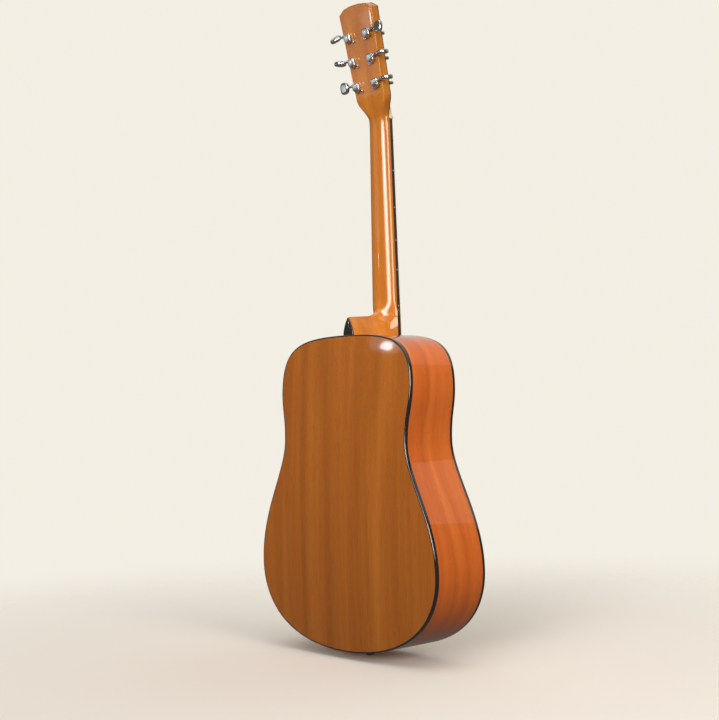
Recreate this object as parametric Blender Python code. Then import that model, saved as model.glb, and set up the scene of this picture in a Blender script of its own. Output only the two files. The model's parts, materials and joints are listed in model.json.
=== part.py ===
"""Steel-string acoustic guitar, dreadnought body, as separate pieces.

Metres. +Z runs up the neck, the soundboard faces -Y, the back faces +Y and the bass side is at -X.
The origin is where the end pin's axis meets the tail of the rim. Depths, called v, are counted
from the soundboard's outer face, positive into the body.
"""
import math

import bmesh
import bpy
from mathutils import Euler, Matrix, Vector

# Body
BODY_LENGTH = 0.505
LOWER_BOUT, LOWER_BOUT_Z = 0.410, 0.134
WAIST, WAIST_Z = 0.287, 0.334
UPPER_BOUT, UPPER_BOUT_Z = 0.306, 0.420
TAIL_DEPTH, NECK_END_DEPTH = 0.112, 0.097
BACK_RADIUS = 4.6
TOP_Y = -TAIL_DEPTH / 2
GAP = 0.0003
TOP_THICKNESS, BACK_THICKNESS, SIDE_THICKNESS = 0.0030, 0.0026, 0.0025
BINDING_WIDTH, BINDING_HEIGHT = 0.0025, 0.0060
PLATE_INSET = BINDING_WIDTH + GAP
CUT_PAST = 0.01
LINING_WIDTH = 0.0058
ARC_STEPS = 10
HOLE_Z, HOLE_RADIUS = 0.354, 0.050
ROSETTE_INNER, ROSETTE_OUTER, ROSETTE_DEPTH = 0.0540, 0.0620, 0.0012

# Neck
SCALE = 0.650
FRETS, FRETS_CLEAR = 20, 14
NUT_Z = BODY_LENGTH + SCALE * (1 - 2 ** (-FRETS_CLEAR / 12))
NUT_WIDTH, JOIN_WIDTH, NUT_LENGTH = 0.043, 0.055, 0.005
NECK_DEPTH_NUT, NECK_DEPTH_HEEL = 0.0148, 0.0155
BOARD_THICKNESS, BOARD_RADIUS = 0.0065, 0.400
BOARD_END_Z = NUT_Z - SCALE * (1 - 2 ** (-FRETS / 12)) - 0.007
HEEL_DEPTH, HEEL_LENGTH, HEEL_CAP_WIDTH, HEEL_CAP_THICKNESS = 0.084, 0.030, 0.022, 0.0025
HEEL_CURVE_DEPTH, HEEL_CURVE_LENGTH = 0.045, 0.057
TENON_HALF_WIDTH, TENON_FRONT, TENON_BACK, TENON_LENGTH = 0.012, 0.0067, 0.075, 0.018
HEAD_TILT = math.radians(12)
HEAD_THICKNESS, VENEER = 0.0150, 0.0015
HEAD_LENGTH, HEAD_CORNER, HEAD_FLARE = 0.191, 0.1808, 0.040
HEAD_CROWN = ((0.026, 0.1886), (0.011, HEAD_LENGTH))
HEAD_TOP_WIDTH, HEAD_BASE_WIDTH = 0.077, 0.066

# Strings, from bass to treble
STRING_RADII = (0.00067, 0.00053, 0.00041, 0.00031, 0.00020, 0.00015)
NUT_SPREAD, BRIDGE_SPREAD = 0.0355, 0.0550
STRING_AT_NUT, STRING_AT_SADDLE = -0.0083, -0.0121
SADDLE_Z = NUT_Z - SCALE - 0.002
SADDLE_SLANT = math.radians(2)
PIN_Z = SADDLE_Z - 0.018
BRIDGE_THICKNESS = 0.0090
PIN_RADIUS, PIN_LENGTH, PIN_CLEARANCE = 0.0025, 0.0180, 0.0003

# Tuners
POST_X = 0.021
POST_STEPS = (0.057, 0.098, 0.139)
POST_RADIUS, POST_HEIGHT = 0.0030, 0.0200
WORM_OFFSET, WORM_RADIUS, WHEEL_RADIUS = 0.0061, 0.0018, 0.0040
WHEEL_BACK, SHAFT_RADIUS = 0.0221, 0.0015
HOUSING_HEIGHT, EAR_RADIUS, GRIP_START = 0.0090, 0.0032, 0.0206
WORM_DEPTH = 0.0193
BUTTON_TURNS = (90, 90, 15, 62, 100, 5)

# Truss rod and end pin
ROD_RADIUS, ROD_V, ROD_HEX_RADIUS, ROD_WAY_RADIUS = 0.0025, 0.0091, 0.0040, 0.0046
END_PIN_RADIUS = 0.0045


def material(name, colour, roughness=0.4, metallic=0.0):
    made = bpy.data.materials.new(name)
    made.use_nodes = True
    shader = made.node_tree.nodes["Principled BSDF"]
    shader.inputs["Base Color"].default_value = (*colour, 1.0)
    shader.inputs["Roughness"].default_value = roughness
    shader.inputs["Metallic"].default_value = metallic
    return made


def at(x, v, z):
    """A point at depth v behind the soundboard's face."""
    return Vector((x, TOP_Y + v, z))


def finish(name, bm, finish_material, parent=None, place=None):
    """The mesh as a named object, facing outwards, smooth but for its sharp edges."""
    bmesh.ops.recalc_face_normals(bm, faces=bm.faces)
    mesh = bpy.data.meshes.new(name)
    bm.to_mesh(mesh)
    bm.free()
    mesh.materials.append(finish_material)
    mesh.shade_smooth()
    mesh.set_sharp_from_angle(angle=math.radians(35))
    made = bpy.data.objects.new(name, mesh)
    bpy.context.collection.objects.link(made)
    made.parent = parent
    if place is not None:
        made.matrix_basis = place
    return made


def empty(name, parent=None, place=None):
    made = bpy.data.objects.new(name, None)
    made.empty_display_size = 0.02
    bpy.context.collection.objects.link(made)
    made.parent = parent
    if place is not None:
        made.matrix_basis = place
    return made


def add_sections(bm, sections, looped=False):
    """Skins a row of sections that have the same number of points."""
    rings = [[bm.verts.new(point) for point in section] for section in sections]
    pairs = list(zip(rings, rings[1:]))
    if looped:
        pairs.append((rings[-1], rings[0]))
    for first, second in pairs:
        for i in range(len(first)):
            j = (i + 1) % len(first)
            bm.faces.new((first[i], first[j], second[j], second[i]))
    if not looped:
        bm.faces.new(rings[0])
        bm.faces.new(rings[-1])


def loft(name, sections, finish_material, looped=False, parent=None, place=None):
    bm = bmesh.new()
    add_sections(bm, sections, looped)
    return finish(name, bm, finish_material, parent, place)


def prism(name, outline, low, high, finish_material, parent=None, place=None):
    """An (x, z) outline given thickness along Y."""
    sections = [[Vector((x, y, z)) for x, z in outline] for y in (low, high)]
    return loft(name, sections, finish_material, parent=parent, place=place)


def box(name, low, high, finish_material, parent=None, place=None):
    outline = [(low[0], low[2]), (high[0], low[2]), (high[0], high[2]), (low[0], high[2])]
    return prism(name, outline, low[1], high[1], finish_material, parent, place)


def circle_points(radius, height, axis, count, centre=(0.0, 0.0)):
    points = []
    for i in range(count):
        turn = 2 * math.pi * i / count
        a, b = centre[0] + radius * math.cos(turn), centre[1] + radius * math.sin(turn)
        turned_to = {"X": (height, a, b), "Y": (a, height, b), "Z": (a, b, height)}
        points.append(Vector(turned_to[axis]))
    return points


def turned(name, profile, axis, finish_material, count=12, parent=None, place=None):
    """A turned piece: each (radius, height) of the profile is a circle about the axis."""
    sections = [circle_points(radius, height, axis, count) for radius, height in profile]
    return loft(name, sections, finish_material, parent=parent, place=place)


def rods(name, centres, radius, low, high, axis, count=12, parent=None):
    """A cutter of parallel rods, one at each centre."""
    bm = bmesh.new()
    for centre in centres:
        add_sections(bm, [circle_points(radius, height, axis, count, centre) for height in (low, high)])
    return finish(name, bm, CUTTER, parent)


def cut(made, *cutters):
    for cutter in cutters:
        cutter.hide_render = True
        cutter.display_type = "WIRE"
        modifier = made.modifiers.new("cut_" + cutter.name, "BOOLEAN")
        modifier.operation = "DIFFERENCE"
        modifier.object = cutter


def weld(made, *others):
    for other in others:
        other.hide_render = True
        other.display_type = "WIRE"
        modifier = made.modifiers.new("join_" + other.name, "BOOLEAN")
        modifier.operation = "UNION"
        modifier.object = other


def cubic(start, leave, arrive, end, steps):
    """Points and directions along one cubic arc, without its last point."""
    start, leave, arrive, end = (Vector(point) for point in (start, leave, arrive, end))
    for i in range(steps):
        t = i / steps
        s = 1 - t
        point = s**3 * start + 3 * s * s * t * leave + 3 * s * t * t * arrive + t**3 * end
        way = s * s * (leave - start) + 2 * s * t * (arrive - leave) + t * t * (end - arrive)
        yield point, way.normalized()


def half_outline():
    """(point, outward normal) in (x, z) from the tail to the neck, treble side."""
    bout, waist, upper = LOWER_BOUT / 2, WAIST / 2, UPPER_BOUT / 2
    arcs = (
        ((0, 0), (0.133, 0), (bout, LOWER_BOUT_Z - 0.080), (bout, LOWER_BOUT_Z)),
        ((bout, LOWER_BOUT_Z), (bout, LOWER_BOUT_Z + 0.084), (waist, WAIST_Z - 0.052), (waist, WAIST_Z)),
        ((waist, WAIST_Z), (waist, WAIST_Z + 0.043), (upper, UPPER_BOUT_Z - 0.0345), (upper, UPPER_BOUT_Z)),
        ((upper, UPPER_BOUT_Z), (upper, UPPER_BOUT_Z + 0.072), (0.112, BODY_LENGTH), (0, BODY_LENGTH)),
    )
    found = []
    for arc in arcs:
        for point, way in cubic(*arc, ARC_STEPS):
            found.append((point, Vector((way.y, -way.x))))
    found.append((Vector((0, BODY_LENGTH)), Vector((0, 1))))
    return found


def outline_loop():
    """The whole outline, from the tail up the treble side and back down the bass side."""
    half = half_outline()
    mirrored = [(Vector((-p.x, p.y)), Vector((-n.x, n.y))) for p, n in reversed(half[1:-1])]
    return half + mirrored


def inset_points(inset):
    return [point - normal * inset for point, normal in outline_loop()]


def back_v(x, z):
    """Depth of the back's outer face, arched both ways."""
    taper = TAIL_DEPTH + (NECK_END_DEPTH - TAIL_DEPTH) * z / BODY_LENGTH
    return taper + (z * (BODY_LENGTH - z) - x * x) / (2 * BACK_RADIUS)


def rim_section(point, normal, corners):
    """Corners are (inset from the outline, depth, measured from the back or not)."""
    section = []
    for inset, depth, from_back in corners:
        place = point - normal * inset
        v = back_v(place.x, place.y) - depth if from_back else depth
        section.append(at(place.x, v, place.y))
    return section


def trimmed_half(tail_x, neck_x, sign):
    """The half outline between tail_x beside the end pin and neck_x beside the neck, mirrored by sign."""
    half = half_outline()
    middle = len(half) // 2

    def crossing(near, far, x):
        share = (x - near[0].x) / (far[0].x - near[0].x)
        return near[0].lerp(far[0], share), near[1].lerp(far[1], share).normalized()

    low = max(i for i in range(middle) if half[i][0].x < tail_x)
    high = min(i for i in range(middle, len(half)) if half[i][0].x < neck_x)
    kept = [crossing(half[low], half[low + 1], tail_x), *half[low + 1:high],
            crossing(half[high], half[high - 1], neck_x)]
    return [(Vector((p.x * sign, p.y)), Vector((n.x * sign, n.y))) for p, n in kept]


def make_soundboard():
    outline = inset_points(PLATE_INSET)
    board = prism("soundboard", outline, TOP_Y, TOP_Y + TOP_THICKNESS, SPRUCE, GUITAR)
    hole = turned("hole_cutter", [(HOLE_RADIUS, TOP_Y - 0.01), (HOLE_RADIUS, TOP_Y + 0.01)], "Y", CUTTER, 48,
                  GUITAR, Matrix.Translation((0, 0, HOLE_Z)))
    channel = ring("channel_cutter", ROSETTE_INNER - GAP, ROSETTE_OUTER + GAP,
                   TOP_Y - 0.01, TOP_Y + ROSETTE_DEPTH + GAP, CUTTER)
    cut(board, hole, channel, PIN_HOLES)
    ring("rosette", ROSETTE_INNER, ROSETTE_OUTER, TOP_Y, TOP_Y + ROSETTE_DEPTH, ROSETTE)


def ring(name, inner, outer, low, high, finish_material, count=48):
    """A flat ring about the sound hole's axis."""
    sections = []
    for i in range(count):
        turn = 2 * math.pi * i / count
        c, s = math.cos(turn), math.sin(turn)
        corners = ((inner, low), (outer, low), (outer, high), (inner, high))
        sections.append([Vector((r * c, y, r * s)) for r, y in corners])
    return loft(name, sections, finish_material, True, GUITAR, Matrix.Translation((0, 0, HOLE_Z)))


def make_back():
    """Concentric rings of the outline carry the arch. The inner face is the same, one thickness in."""
    outline = inset_points(PLATE_INSET)
    centre = Vector((0, 0.30))
    bm = bmesh.new()
    faces = []
    for inner in (0.0, BACK_THICKNESS):
        rings = []
        for share in (1.0, 0.72, 0.42, 0.14):
            points = [centre + (point - centre) * share for point in outline]
            rings.append([bm.verts.new(at(p.x, back_v(p.x, p.y) - inner, p.y)) for p in points])
        middle = bm.verts.new(at(centre.x, back_v(*centre) - inner, centre.y))
        count = len(outline)
        for outer_ring, inner_ring in zip(rings, rings[1:]):
            for i in range(count):
                j = (i + 1) % count
                bm.faces.new((outer_ring[i], outer_ring[j], inner_ring[j], inner_ring[i]))
        for i in range(count):
            bm.faces.new((rings[-1][i], rings[-1][(i + 1) % count], middle))
        faces.append(rings[0])
    for i in range(count):
        j = (i + 1) % count
        bm.faces.new((faces[0][i], faces[0][j], faces[1][j], faces[1][i]))
    finish("back_plate", bm, BACK_WOOD, GUITAR)


def make_rim():
    top_corners = ((0, 0, False), (BINDING_WIDTH, 0, False),
                   (BINDING_WIDTH, BINDING_HEIGHT, False), (0, BINDING_HEIGHT, False))
    back_corners = ((0, 0, True), (BINDING_WIDTH, 0, True),
                    (BINDING_WIDTH, BINDING_HEIGHT, True), (0, BINDING_HEIGHT, True))
    for name, corners in (("top_binding", top_corners), ("back_binding", back_corners)):
        sections = [rim_section(p, n, corners) for p, n in outline_loop()]
        loft(name, sections, BINDING, True, GUITAR)
    edge = BINDING_HEIGHT + GAP
    side_corners = ((0, edge, False), (SIDE_THICKNESS, edge, False),
                    (SIDE_THICKNESS, edge, True), (0, edge, True))
    neck_slot = TENON_HALF_WIDTH + GAP
    for name, sign in (("side_bass", -1), ("side_treble", 1)):
        half = trimmed_half(GAP / 2, neck_slot, sign)
        side = loft(name, [rim_section(p, n, side_corners) for p, n in half], SIDE_WOOD, parent=GUITAR)
        cut(side, END_PIN_BORE)
    inner = PLATE_INSET + LINING_WIDTH
    under_top, under_back = TOP_THICKNESS + GAP, BACK_THICKNESS + GAP
    for plate, under, from_back in (("top", under_top, False), ("back", under_back, True)):
        corners = ((PLATE_INSET, under, from_back), (inner, under, from_back),
                   (inner, under + 0.005, from_back), (PLATE_INSET, under + 0.014, from_back))
        for side_name, sign in (("bass", -1), ("treble", 1)):
            half = trimmed_half(0.041, 0.038, sign)
            sections = [rim_section(p, n, corners) for p, n in half]
            loft(f"{plate}_lining_{side_name}", sections, LINING, parent=GUITAR)


def block_outline(half, low, high):
    """A block's outline against the inside of the rim, |x| up to half, closed off straight inside."""
    near_rim = [p for p in inset_points(SIDE_THICKNESS + GAP) if abs(p.x) < half and low < p.y < high]
    near_rim.sort(key=lambda p: p.x)
    return [(p.x, p.y) for p in near_rim]


def make_blocks():
    """The neck block with its mortise, and the tail block with the end pin's bore."""
    top, lift = TOP_Y + TOP_THICKNESS + GAP, TOP_Y - BACK_THICKNESS - 3 * GAP
    inside = BODY_LENGTH - 0.028
    edge = block_outline(0.036, 0.48, 0.51)
    half = edge[-1][0]
    neck_block = prism("neck_block", [(-half, inside), *edge, (half, inside)], top,
                       back_v(half, edge[0][1]) + lift, BLOCK, GUITAR)
    slot = TENON_HALF_WIDTH + GAP
    mortise = box("mortise_cutter", at(-slot, -CUT_PAST, BODY_LENGTH - TENON_LENGTH - 3 * GAP),
                  at(slot, TENON_BACK + GAP, BODY_LENGTH + CUT_PAST), CUTTER, GUITAR)
    rod_way = rods("rod_way_cutter", [(0, TOP_Y + ROD_V)], ROD_WAY_RADIUS, inside - CUT_PAST, BODY_LENGTH,
                   "Z", 12, GUITAR)
    cut(neck_block, mortise, rod_way)
    inside = 0.024
    edge = block_outline(0.040, -0.01, 0.02)
    half = edge[-1][0]
    tail_block = prism("tail_block", [(-half, inside), *edge, (half, inside)], top,
                       back_v(half, edge[0][1]) + lift, BLOCK, GUITAR)
    cut(tail_block, END_PIN_BORE)


def bar(name, start, end, width, height, tip, taper, under):
    """A straight brace under the soundboard, its ends carved down to the tip's height."""
    start, end = Vector(start), Vector(end)
    length = (end - start).length
    profile = [(0, 0), (length, 0), (length, tip), (length - taper, height), (taper, height), (0, tip)]
    along = (end - start).normalized()
    across = Vector((-along.y, along.x)) * width / 2
    sections = []
    for side in (1, -1):
        base = start + across * side
        sections.append([at(base.x + along.x * d, under + h, base.y + along.y * d) for d, h in profile])
    return loft(name, sections, BRACE, parent=GUITAR)


def make_top_bracing():
    under = TOP_THICKNESS + GAP
    cross_z, height, width = 0.269, 0.013, 0.008
    arms = []
    for name, sign in (("x_brace_bass", -1), ("x_brace_treble", 1)):
        arms.append(bar(name, (-sign * 0.118, cross_z + 0.118), (sign * 0.172, cross_z - 0.172),
                        width, height, 0.003, 0.05, under))
    lap = width / 2 + GAP
    notches = ((arms[0], 1, height / 2 - GAP / 2, 0.02), (arms[1], -1, -0.01, height / 2 + GAP / 2))
    for arm, sign, low, high in notches:
        place = Matrix.Translation((0, 0, cross_z)) @ Matrix.Rotation(math.radians(45) * sign, 4, "Y")
        corner = Vector((0.02, 0, lap))
        lower, upper = at(-corner.x, under + low, -corner.z), at(corner.x, under + high, corner.z)
        cut(arm, box(arm.name + "_lap", lower, upper, CUTTER, GUITAR, place))
    bar("transverse_brace", (-0.132, 0.422), (0.132, 0.422), 0.010, 0.014, 0.004, 0.03, under)
    bar("tone_bar_upper", (-0.098, 0.156), (0.088, 0.122), 0.007, 0.011, 0.003, 0.03, under)
    bar("tone_bar_lower", (-0.124, 0.112), (0.112, 0.068), 0.007, 0.011, 0.003, 0.03, under)
    plate_low, plate_high = PIN_Z - 0.020, SADDLE_Z + 0.009
    margin = 0.0075
    outline = [(-(cross_z - plate_low - margin), plate_low), (cross_z - plate_low - margin, plate_low),
               (cross_z - plate_high - margin, plate_high), (-(cross_z - plate_high - margin), plate_high)]
    plate = prism("bridge_plate", outline, TOP_Y + under, TOP_Y + under + 0.0025, PLATE_WOOD, GUITAR)
    cut(plate, PIN_HOLES)


def make_back_bracing():
    """Four arched bars over one centre strip, glued up as one piece."""
    lift = BACK_THICKNESS + GAP
    half, thick, bar_half, tip, tip_length, top = 0.010, 0.002, 0.004, 0.004, 0.04, 0.014
    strip_z = [0.0245 + i * (0.4765 - 0.0245) / 8 for i in range(9)]
    sections = []
    for z in strip_z:
        v = back_v(half, z) - lift
        sections.append([at(-half, v, z), at(half, v, z), at(half, v - thick, z), at(-half, v - thick, z)])
    strip = loft("back_bracing", sections, BRACE, parent=GUITAR)
    for index, (z, reach) in enumerate(((0.075, 0.168), (0.190, 0.178), (0.325, 0.130), (0.430, 0.138))):
        sections = []
        for i in range(9):
            x = -reach + 2 * reach * i / 8
            height = tip + (top - tip) * min(1, (reach - abs(x)) / tip_length)
            v = min(back_v(x, z - bar_half), back_v(x, z + bar_half)) - lift
            sections.append([at(x, v, z - bar_half), at(x, v, z + bar_half),
                             at(x, v - height, z + bar_half), at(x, v - height, z - bar_half)])
        weld(strip, loft(f"back_bar_{index}", sections, BRACE, parent=GUITAR))


def neck_half_width(z):
    """Half the neck's width at a height above the body."""
    share = min(1, max(0, (NUT_Z - BODY_LENGTH - z) / (NUT_Z - BODY_LENGTH)))
    return (NUT_WIDTH + (JOIN_WIDTH - NUT_WIDTH) * share) / 2


def neck_depth(z):
    share = (NUT_Z - BODY_LENGTH - z) / (NUT_Z - BODY_LENGTH)
    return NECK_DEPTH_NUT + (NECK_DEPTH_HEEL - NECK_DEPTH_NUT) * share


def heel_reach(v):
    """How far up the neck the heel's ridge stands at depth v."""
    if v <= NECK_DEPTH_HEEL:
        return HEEL_CURVE_LENGTH * NECK_DEPTH_HEEL / max(v, 1e-4)
    if v >= HEEL_CURVE_DEPTH:
        return HEEL_LENGTH + 0.002 * (HEEL_DEPTH - v) / (HEEL_DEPTH - HEEL_CURVE_DEPTH)
    share = (HEEL_CURVE_DEPTH - v) / (HEEL_CURVE_DEPTH - NECK_DEPTH_HEEL)
    start = HEEL_LENGTH + 0.002
    return start + (HEEL_CURVE_LENGTH - start) * (1 - math.sqrt(1 - share**2))


def ridge_depth(z):
    """The neck's depth at a height above the body: the heel's ridge, its curve, then the shaft."""
    start = HEEL_LENGTH + 0.002
    if z <= HEEL_LENGTH:
        return HEEL_DEPTH
    if z <= start:
        return HEEL_DEPTH - (HEEL_DEPTH - HEEL_CURVE_DEPTH) * (z - HEEL_LENGTH) / (start - HEEL_LENGTH)
    if z <= HEEL_CURVE_LENGTH:
        rise = (z - start) / (HEEL_CURVE_LENGTH - start)
        share = math.sqrt(1 - (1 - rise) ** 2)
        return HEEL_CURVE_DEPTH - share * (HEEL_CURVE_DEPTH - NECK_DEPTH_HEEL)
    return neck_depth(z)


def heel_half_width(v, z):
    base = HEEL_CAP_WIDTH / 2 + (neck_half_width(0) - HEEL_CAP_WIDTH / 2) * (1 - v / HEEL_DEPTH) ** 1.5
    return base * max(0.0, 1 - (z / heel_reach(v)) ** 1.6)


SECTION_STEPS = 8


def neck_section(z):
    """One section across the neck, front corners first, then round the back."""
    deep = ridge_depth(z)
    heel = min(1, max(0, (HEEL_CURVE_LENGTH - z) / (HEEL_CURVE_LENGTH - HEEL_LENGTH)))
    heel = heel * heel * (3 - 2 * heel)
    points = []
    for i in range(SECTION_STEPS + 1):
        share = math.sin(math.pi / 2 * i / SECTION_STEPS)
        v = deep * share
        shaft = neck_half_width(z) * math.sqrt(max(0.0, 1 - share**2.1))
        width = shaft if heel == 0 else (1 - heel) * shaft + heel * heel_half_width(v, z)
        if i == SECTION_STEPS and z > 0:
            width = 0.0
        points.append((width, v))
    right = [at(x, v, BODY_LENGTH + GAP + z) for x, v in points]
    if z == 0:
        left = [at(-x, v, BODY_LENGTH + GAP) for x, v in reversed(points)]
    else:
        left = [at(-x, v, BODY_LENGTH + GAP + z) for x, v in reversed(points[:-1])]
        left.insert(0, right[-1] + Vector((-1e-4, 0, 0)))
        right[-1] = right[-1] + Vector((1e-4, 0, 0))
    return right + left


def head_half_width(s):
    """Half the head's width at a distance s from the nut: a quick flare, then nearly straight sides."""
    if s <= HEAD_FLARE:
        start = 0.004
        t = max(0.0, (s - start) / (HEAD_FLARE - start))
        return NUT_WIDTH / 2 + (HEAD_BASE_WIDTH - NUT_WIDTH) / 2 * t * t * (3 - 2 * t)
    share = (s - HEAD_FLARE) / (HEAD_CORNER - HEAD_FLARE)
    return (HEAD_BASE_WIDTH + (HEAD_TOP_WIDTH - HEAD_BASE_WIDTH) * share) / 2


def head_point(x, n, s):
    """World place of a point of the head: n behind its front face, s above the nut."""
    return HEAD_PLACE @ Vector((x, n, s))


def head_section(half_width, s, squareness):
    deep = HEAD_THICKNESS
    points = []
    for i in range(SECTION_STEPS + 1):
        turn = math.pi / 2 * i / SECTION_STEPS
        x = half_width * math.cos(turn) ** (2 / squareness)
        n = deep * math.sin(turn) ** (2 / squareness)
        points.append((x if i < SECTION_STEPS else 1e-4, n))
    return [head_point(x, n, s) for x, n in points] + [head_point(-x, n, s) for x, n in reversed(points)]


def make_neck():
    """Tenon, heel, shaft and head in one length of wood."""
    tenon_z = BODY_LENGTH - TENON_LENGTH
    sections = []
    for z in (tenon_z, BODY_LENGTH + GAP):
        ring_points = []
        for i in range(SECTION_STEPS + 1):
            turn = math.pi / 2 * i / SECTION_STEPS
            x = TENON_HALF_WIDTH * math.cos(turn) ** 0.12
            v = TENON_FRONT + (TENON_BACK - TENON_FRONT) * math.sin(turn) ** 0.12
            ring_points.append((x if i < SECTION_STEPS else 1e-4, v))
        other_half = [at(-x, v, z) for x, v in reversed(ring_points)]
        sections.append([at(x, v, z) for x, v in ring_points] + other_half)
    heights = [0, 0.008, 0.016, 0.023, 0.028, HEEL_LENGTH, HEEL_LENGTH + 0.002, 0.0335, 0.036, 0.040, 0.046,
               HEEL_CURVE_LENGTH, 0.075, 0.150, 0.250, 0.325]
    sections += [neck_section(z) for z in heights]
    blend_start = NUT_Z - BODY_LENGTH - GAP - 0.012
    sections.append(neck_section(blend_start))
    for s, squareness in ((0.004, 2.3), (0.012, 3.0), (0.022, 6), (0.032, 14), (0.040, 26)):
        sections.append(head_section(head_half_width(s), s, squareness))
    sections.append(head_section(head_half_width(0.100), 0.100, 26))
    sections.append(head_section(head_half_width(HEAD_CORNER), HEAD_CORNER, 26))
    sections += [head_section(half_width, s, 26) for half_width, s in HEAD_CROWN]
    neck = loft("neck", sections, NECK_WOOD, parent=GUITAR)
    channel_half = ROD_RADIUS + 0.0004
    channel = box("rod_channel_cutter", at(-channel_half, -CUT_PAST, BODY_LENGTH - 3 * CUT_PAST),
                  at(channel_half, ROD_V + ROD_RADIUS + GAP, NUT_Z - 0.004), CUTTER, GUITAR)
    cut(neck, channel, POST_HOLES)


def make_head_veneer():
    outline = [(NUT_WIDTH / 2, 0.0075)]
    outline += [(head_half_width(s), s) for s in (0.012, 0.018, 0.024, 0.032, HEAD_FLARE, HEAD_CORNER)]
    outline += HEAD_CROWN
    outline += [(-x, s) for x, s in reversed(outline)]
    veneer = prism("head_veneer", outline, -GAP - VENEER, -GAP, VENEER_WOOD, HEAD)
    cut(veneer, POST_HOLES)


def make_fretboard():
    sections = []
    for z in (BOARD_END_Z, BODY_LENGTH, NUT_Z - GAP):
        half = neck_half_width(z - BODY_LENGTH) if z >= BODY_LENGTH else (
            JOIN_WIDTH / 2 + (BODY_LENGTH - z) * (JOIN_WIDTH - NUT_WIDTH) / 2 / (NUT_Z - BODY_LENGTH))
        points = [at(half, -GAP, z), at(-half, -GAP, z)]
        for i in range(9):
            x = -half + 2 * half * i / 8
            points.append(at(x, -GAP - BOARD_THICKNESS + x * x / (2 * BOARD_RADIUS), z))
        sections.append(points)
    loft("fretboard", sections, BOARD_WOOD, parent=GUITAR)


def string_x(index, spread):
    return -spread / 2 + spread * index / 5


def make_nut():
    low, high = NUT_Z, NUT_Z + NUT_LENGTH
    half = NUT_WIDTH / 2
    outline = [(half, -GAP), (-half, -GAP)]
    outline += [(x, -0.0093 + x * x / (2 * BOARD_RADIUS)) for x in (-half, -half / 2, 0, half / 2, half)]
    sections = [[at(x, v, z) for x, v in outline] for z in (low, high)]
    nut = loft("nut", sections, BONE, parent=GUITAR)
    bm = bmesh.new()
    for index, radius in enumerate(STRING_RADII):
        x, narrow = string_x(index, NUT_SPREAD), radius + GAP
        wide_end = (high + CUT_PAST, narrow + 0.0022, 0.0032)
        mouth = ((low - CUT_PAST, narrow, 0.0), (low, narrow, 0.0), wide_end)
        slot = []
        for z, wide, drop in mouth:
            floor = STRING_AT_NUT + GAP + drop
            slot.append([at(x - wide, -0.015, z), at(x + wide, -0.015, z),
                         at(x + wide, floor, z), at(x - wide, floor, z)])
        add_sections(bm, slot)
    cut(nut, finish("nut_slot_cutter", bm, CUTTER, GUITAR))


def make_heel_cap():
    heel_tip = HEEL_LENGTH - 0.0018
    right = []
    for share in (0.0, 0.2, 0.4, 0.6, 0.75, 0.87, 0.95, 0.99):
        z = heel_tip * share
        round_off = math.sqrt(1 - share ** 10)
        right.append((HEEL_CAP_WIDTH / 2 * (1 - (z / HEEL_LENGTH) ** 1.6) * round_off, z))
    outline = right + [(0, heel_tip)] + [(-x, z) for x, z in reversed(right)]
    low = TOP_Y + HEEL_DEPTH + GAP
    prism("heel_cap", outline, low, low + HEEL_CAP_THICKNESS, BINDING, GUITAR,
          Matrix.Translation((0, 0, BODY_LENGTH + GAP)))


def make_truss_rod():
    """The steel rod in the neck with its hex adjuster in the body, turning together."""
    place = Matrix.Translation((0, TOP_Y + ROD_V, 0))
    rod_end = BODY_LENGTH - 0.025
    rod_ends = [(ROD_RADIUS, rod_end), (ROD_RADIUS, NUT_Z - 0.006)]
    rod = turned("truss_rod", rod_ends, "Z", STEEL, 12, GUITAR, place)
    hex_ends = [(ROD_HEX_RADIUS, rod_end - 0.011), (ROD_HEX_RADIUS, rod_end + 0.0035)]
    weld(rod, turned("rod_hex", hex_ends, "Z", STEEL, 6, GUITAR, place))


def make_bridge():
    """A belly bridge. Each station is (x, reach towards the tail, reach towards the hole, thickness)."""
    stations = ((0.0775, 0.0100, 0.0100, 0.0032), (0.060, 0.0125, 0.0125, 0.0045),
                (0.046, 0.0160, 0.0150, BRIDGE_THICKNESS), (0.022, 0.0215, 0.0165, BRIDGE_THICKNESS))
    middle = (0, 0.0235, 0.0165, BRIDGE_THICKNESS)
    full = [(-x, *reach) for x, *reach in stations] + [middle, *reversed(stations)]
    centre_z = SADDLE_Z - 0.010
    sections = []
    for x, low, high, thick in full:
        sections.append([at(x, -GAP, centre_z - low), at(x, -GAP, centre_z + high),
                         at(x, -GAP - thick, centre_z + high), at(x, -GAP - thick, centre_z - low)])
    bridge = loft("bridge", sections, BRIDGE_WOOD, parent=GUITAR)
    face = -GAP - BRIDGE_THICKNESS
    slant = Matrix.Translation((0, 0, SADDLE_Z)) @ Matrix.Rotation(-SADDLE_SLANT, 4, "Y")
    slot = box("saddle_slot_cutter", Vector((-0.037, TOP_Y + face - 0.01, -0.0017)),
               Vector((0.037, TOP_Y + face + 0.0060, 0.0017)), CUTTER, GUITAR, slant)
    bm = bmesh.new()
    for index in range(6):
        x = string_x(index, BRIDGE_SPREAD)
        add_sections(bm, [[at(x - 0.0012, face - 0.01, z), at(x + 0.0012, face - 0.01, z),
                           at(x + 0.0012, face + 0.0025, z), at(x - 0.0012, face + 0.0025, z)]
                          for z in (PIN_Z, PIN_Z + 0.0080)])
    ramps = finish("string_ramp_cutter", bm, CUTTER, GUITAR)
    cut(bridge, slot, PIN_HOLES, ramps)
    top = STRING_AT_SADDLE + GAP
    outline = [(-0.0014, face + 0.0057), (0.0014, face + 0.0057), (0.0014, top + 0.0009),
               (0.0007, top), (-0.0007, top), (-0.0014, top + 0.0009)]
    sections = [[Vector((x, TOP_Y + v, z)) for z, v in outline] for x in (-0.0366, 0.0366)]
    loft("saddle", sections, BONE, parent=GUITAR, place=slant)


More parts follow.
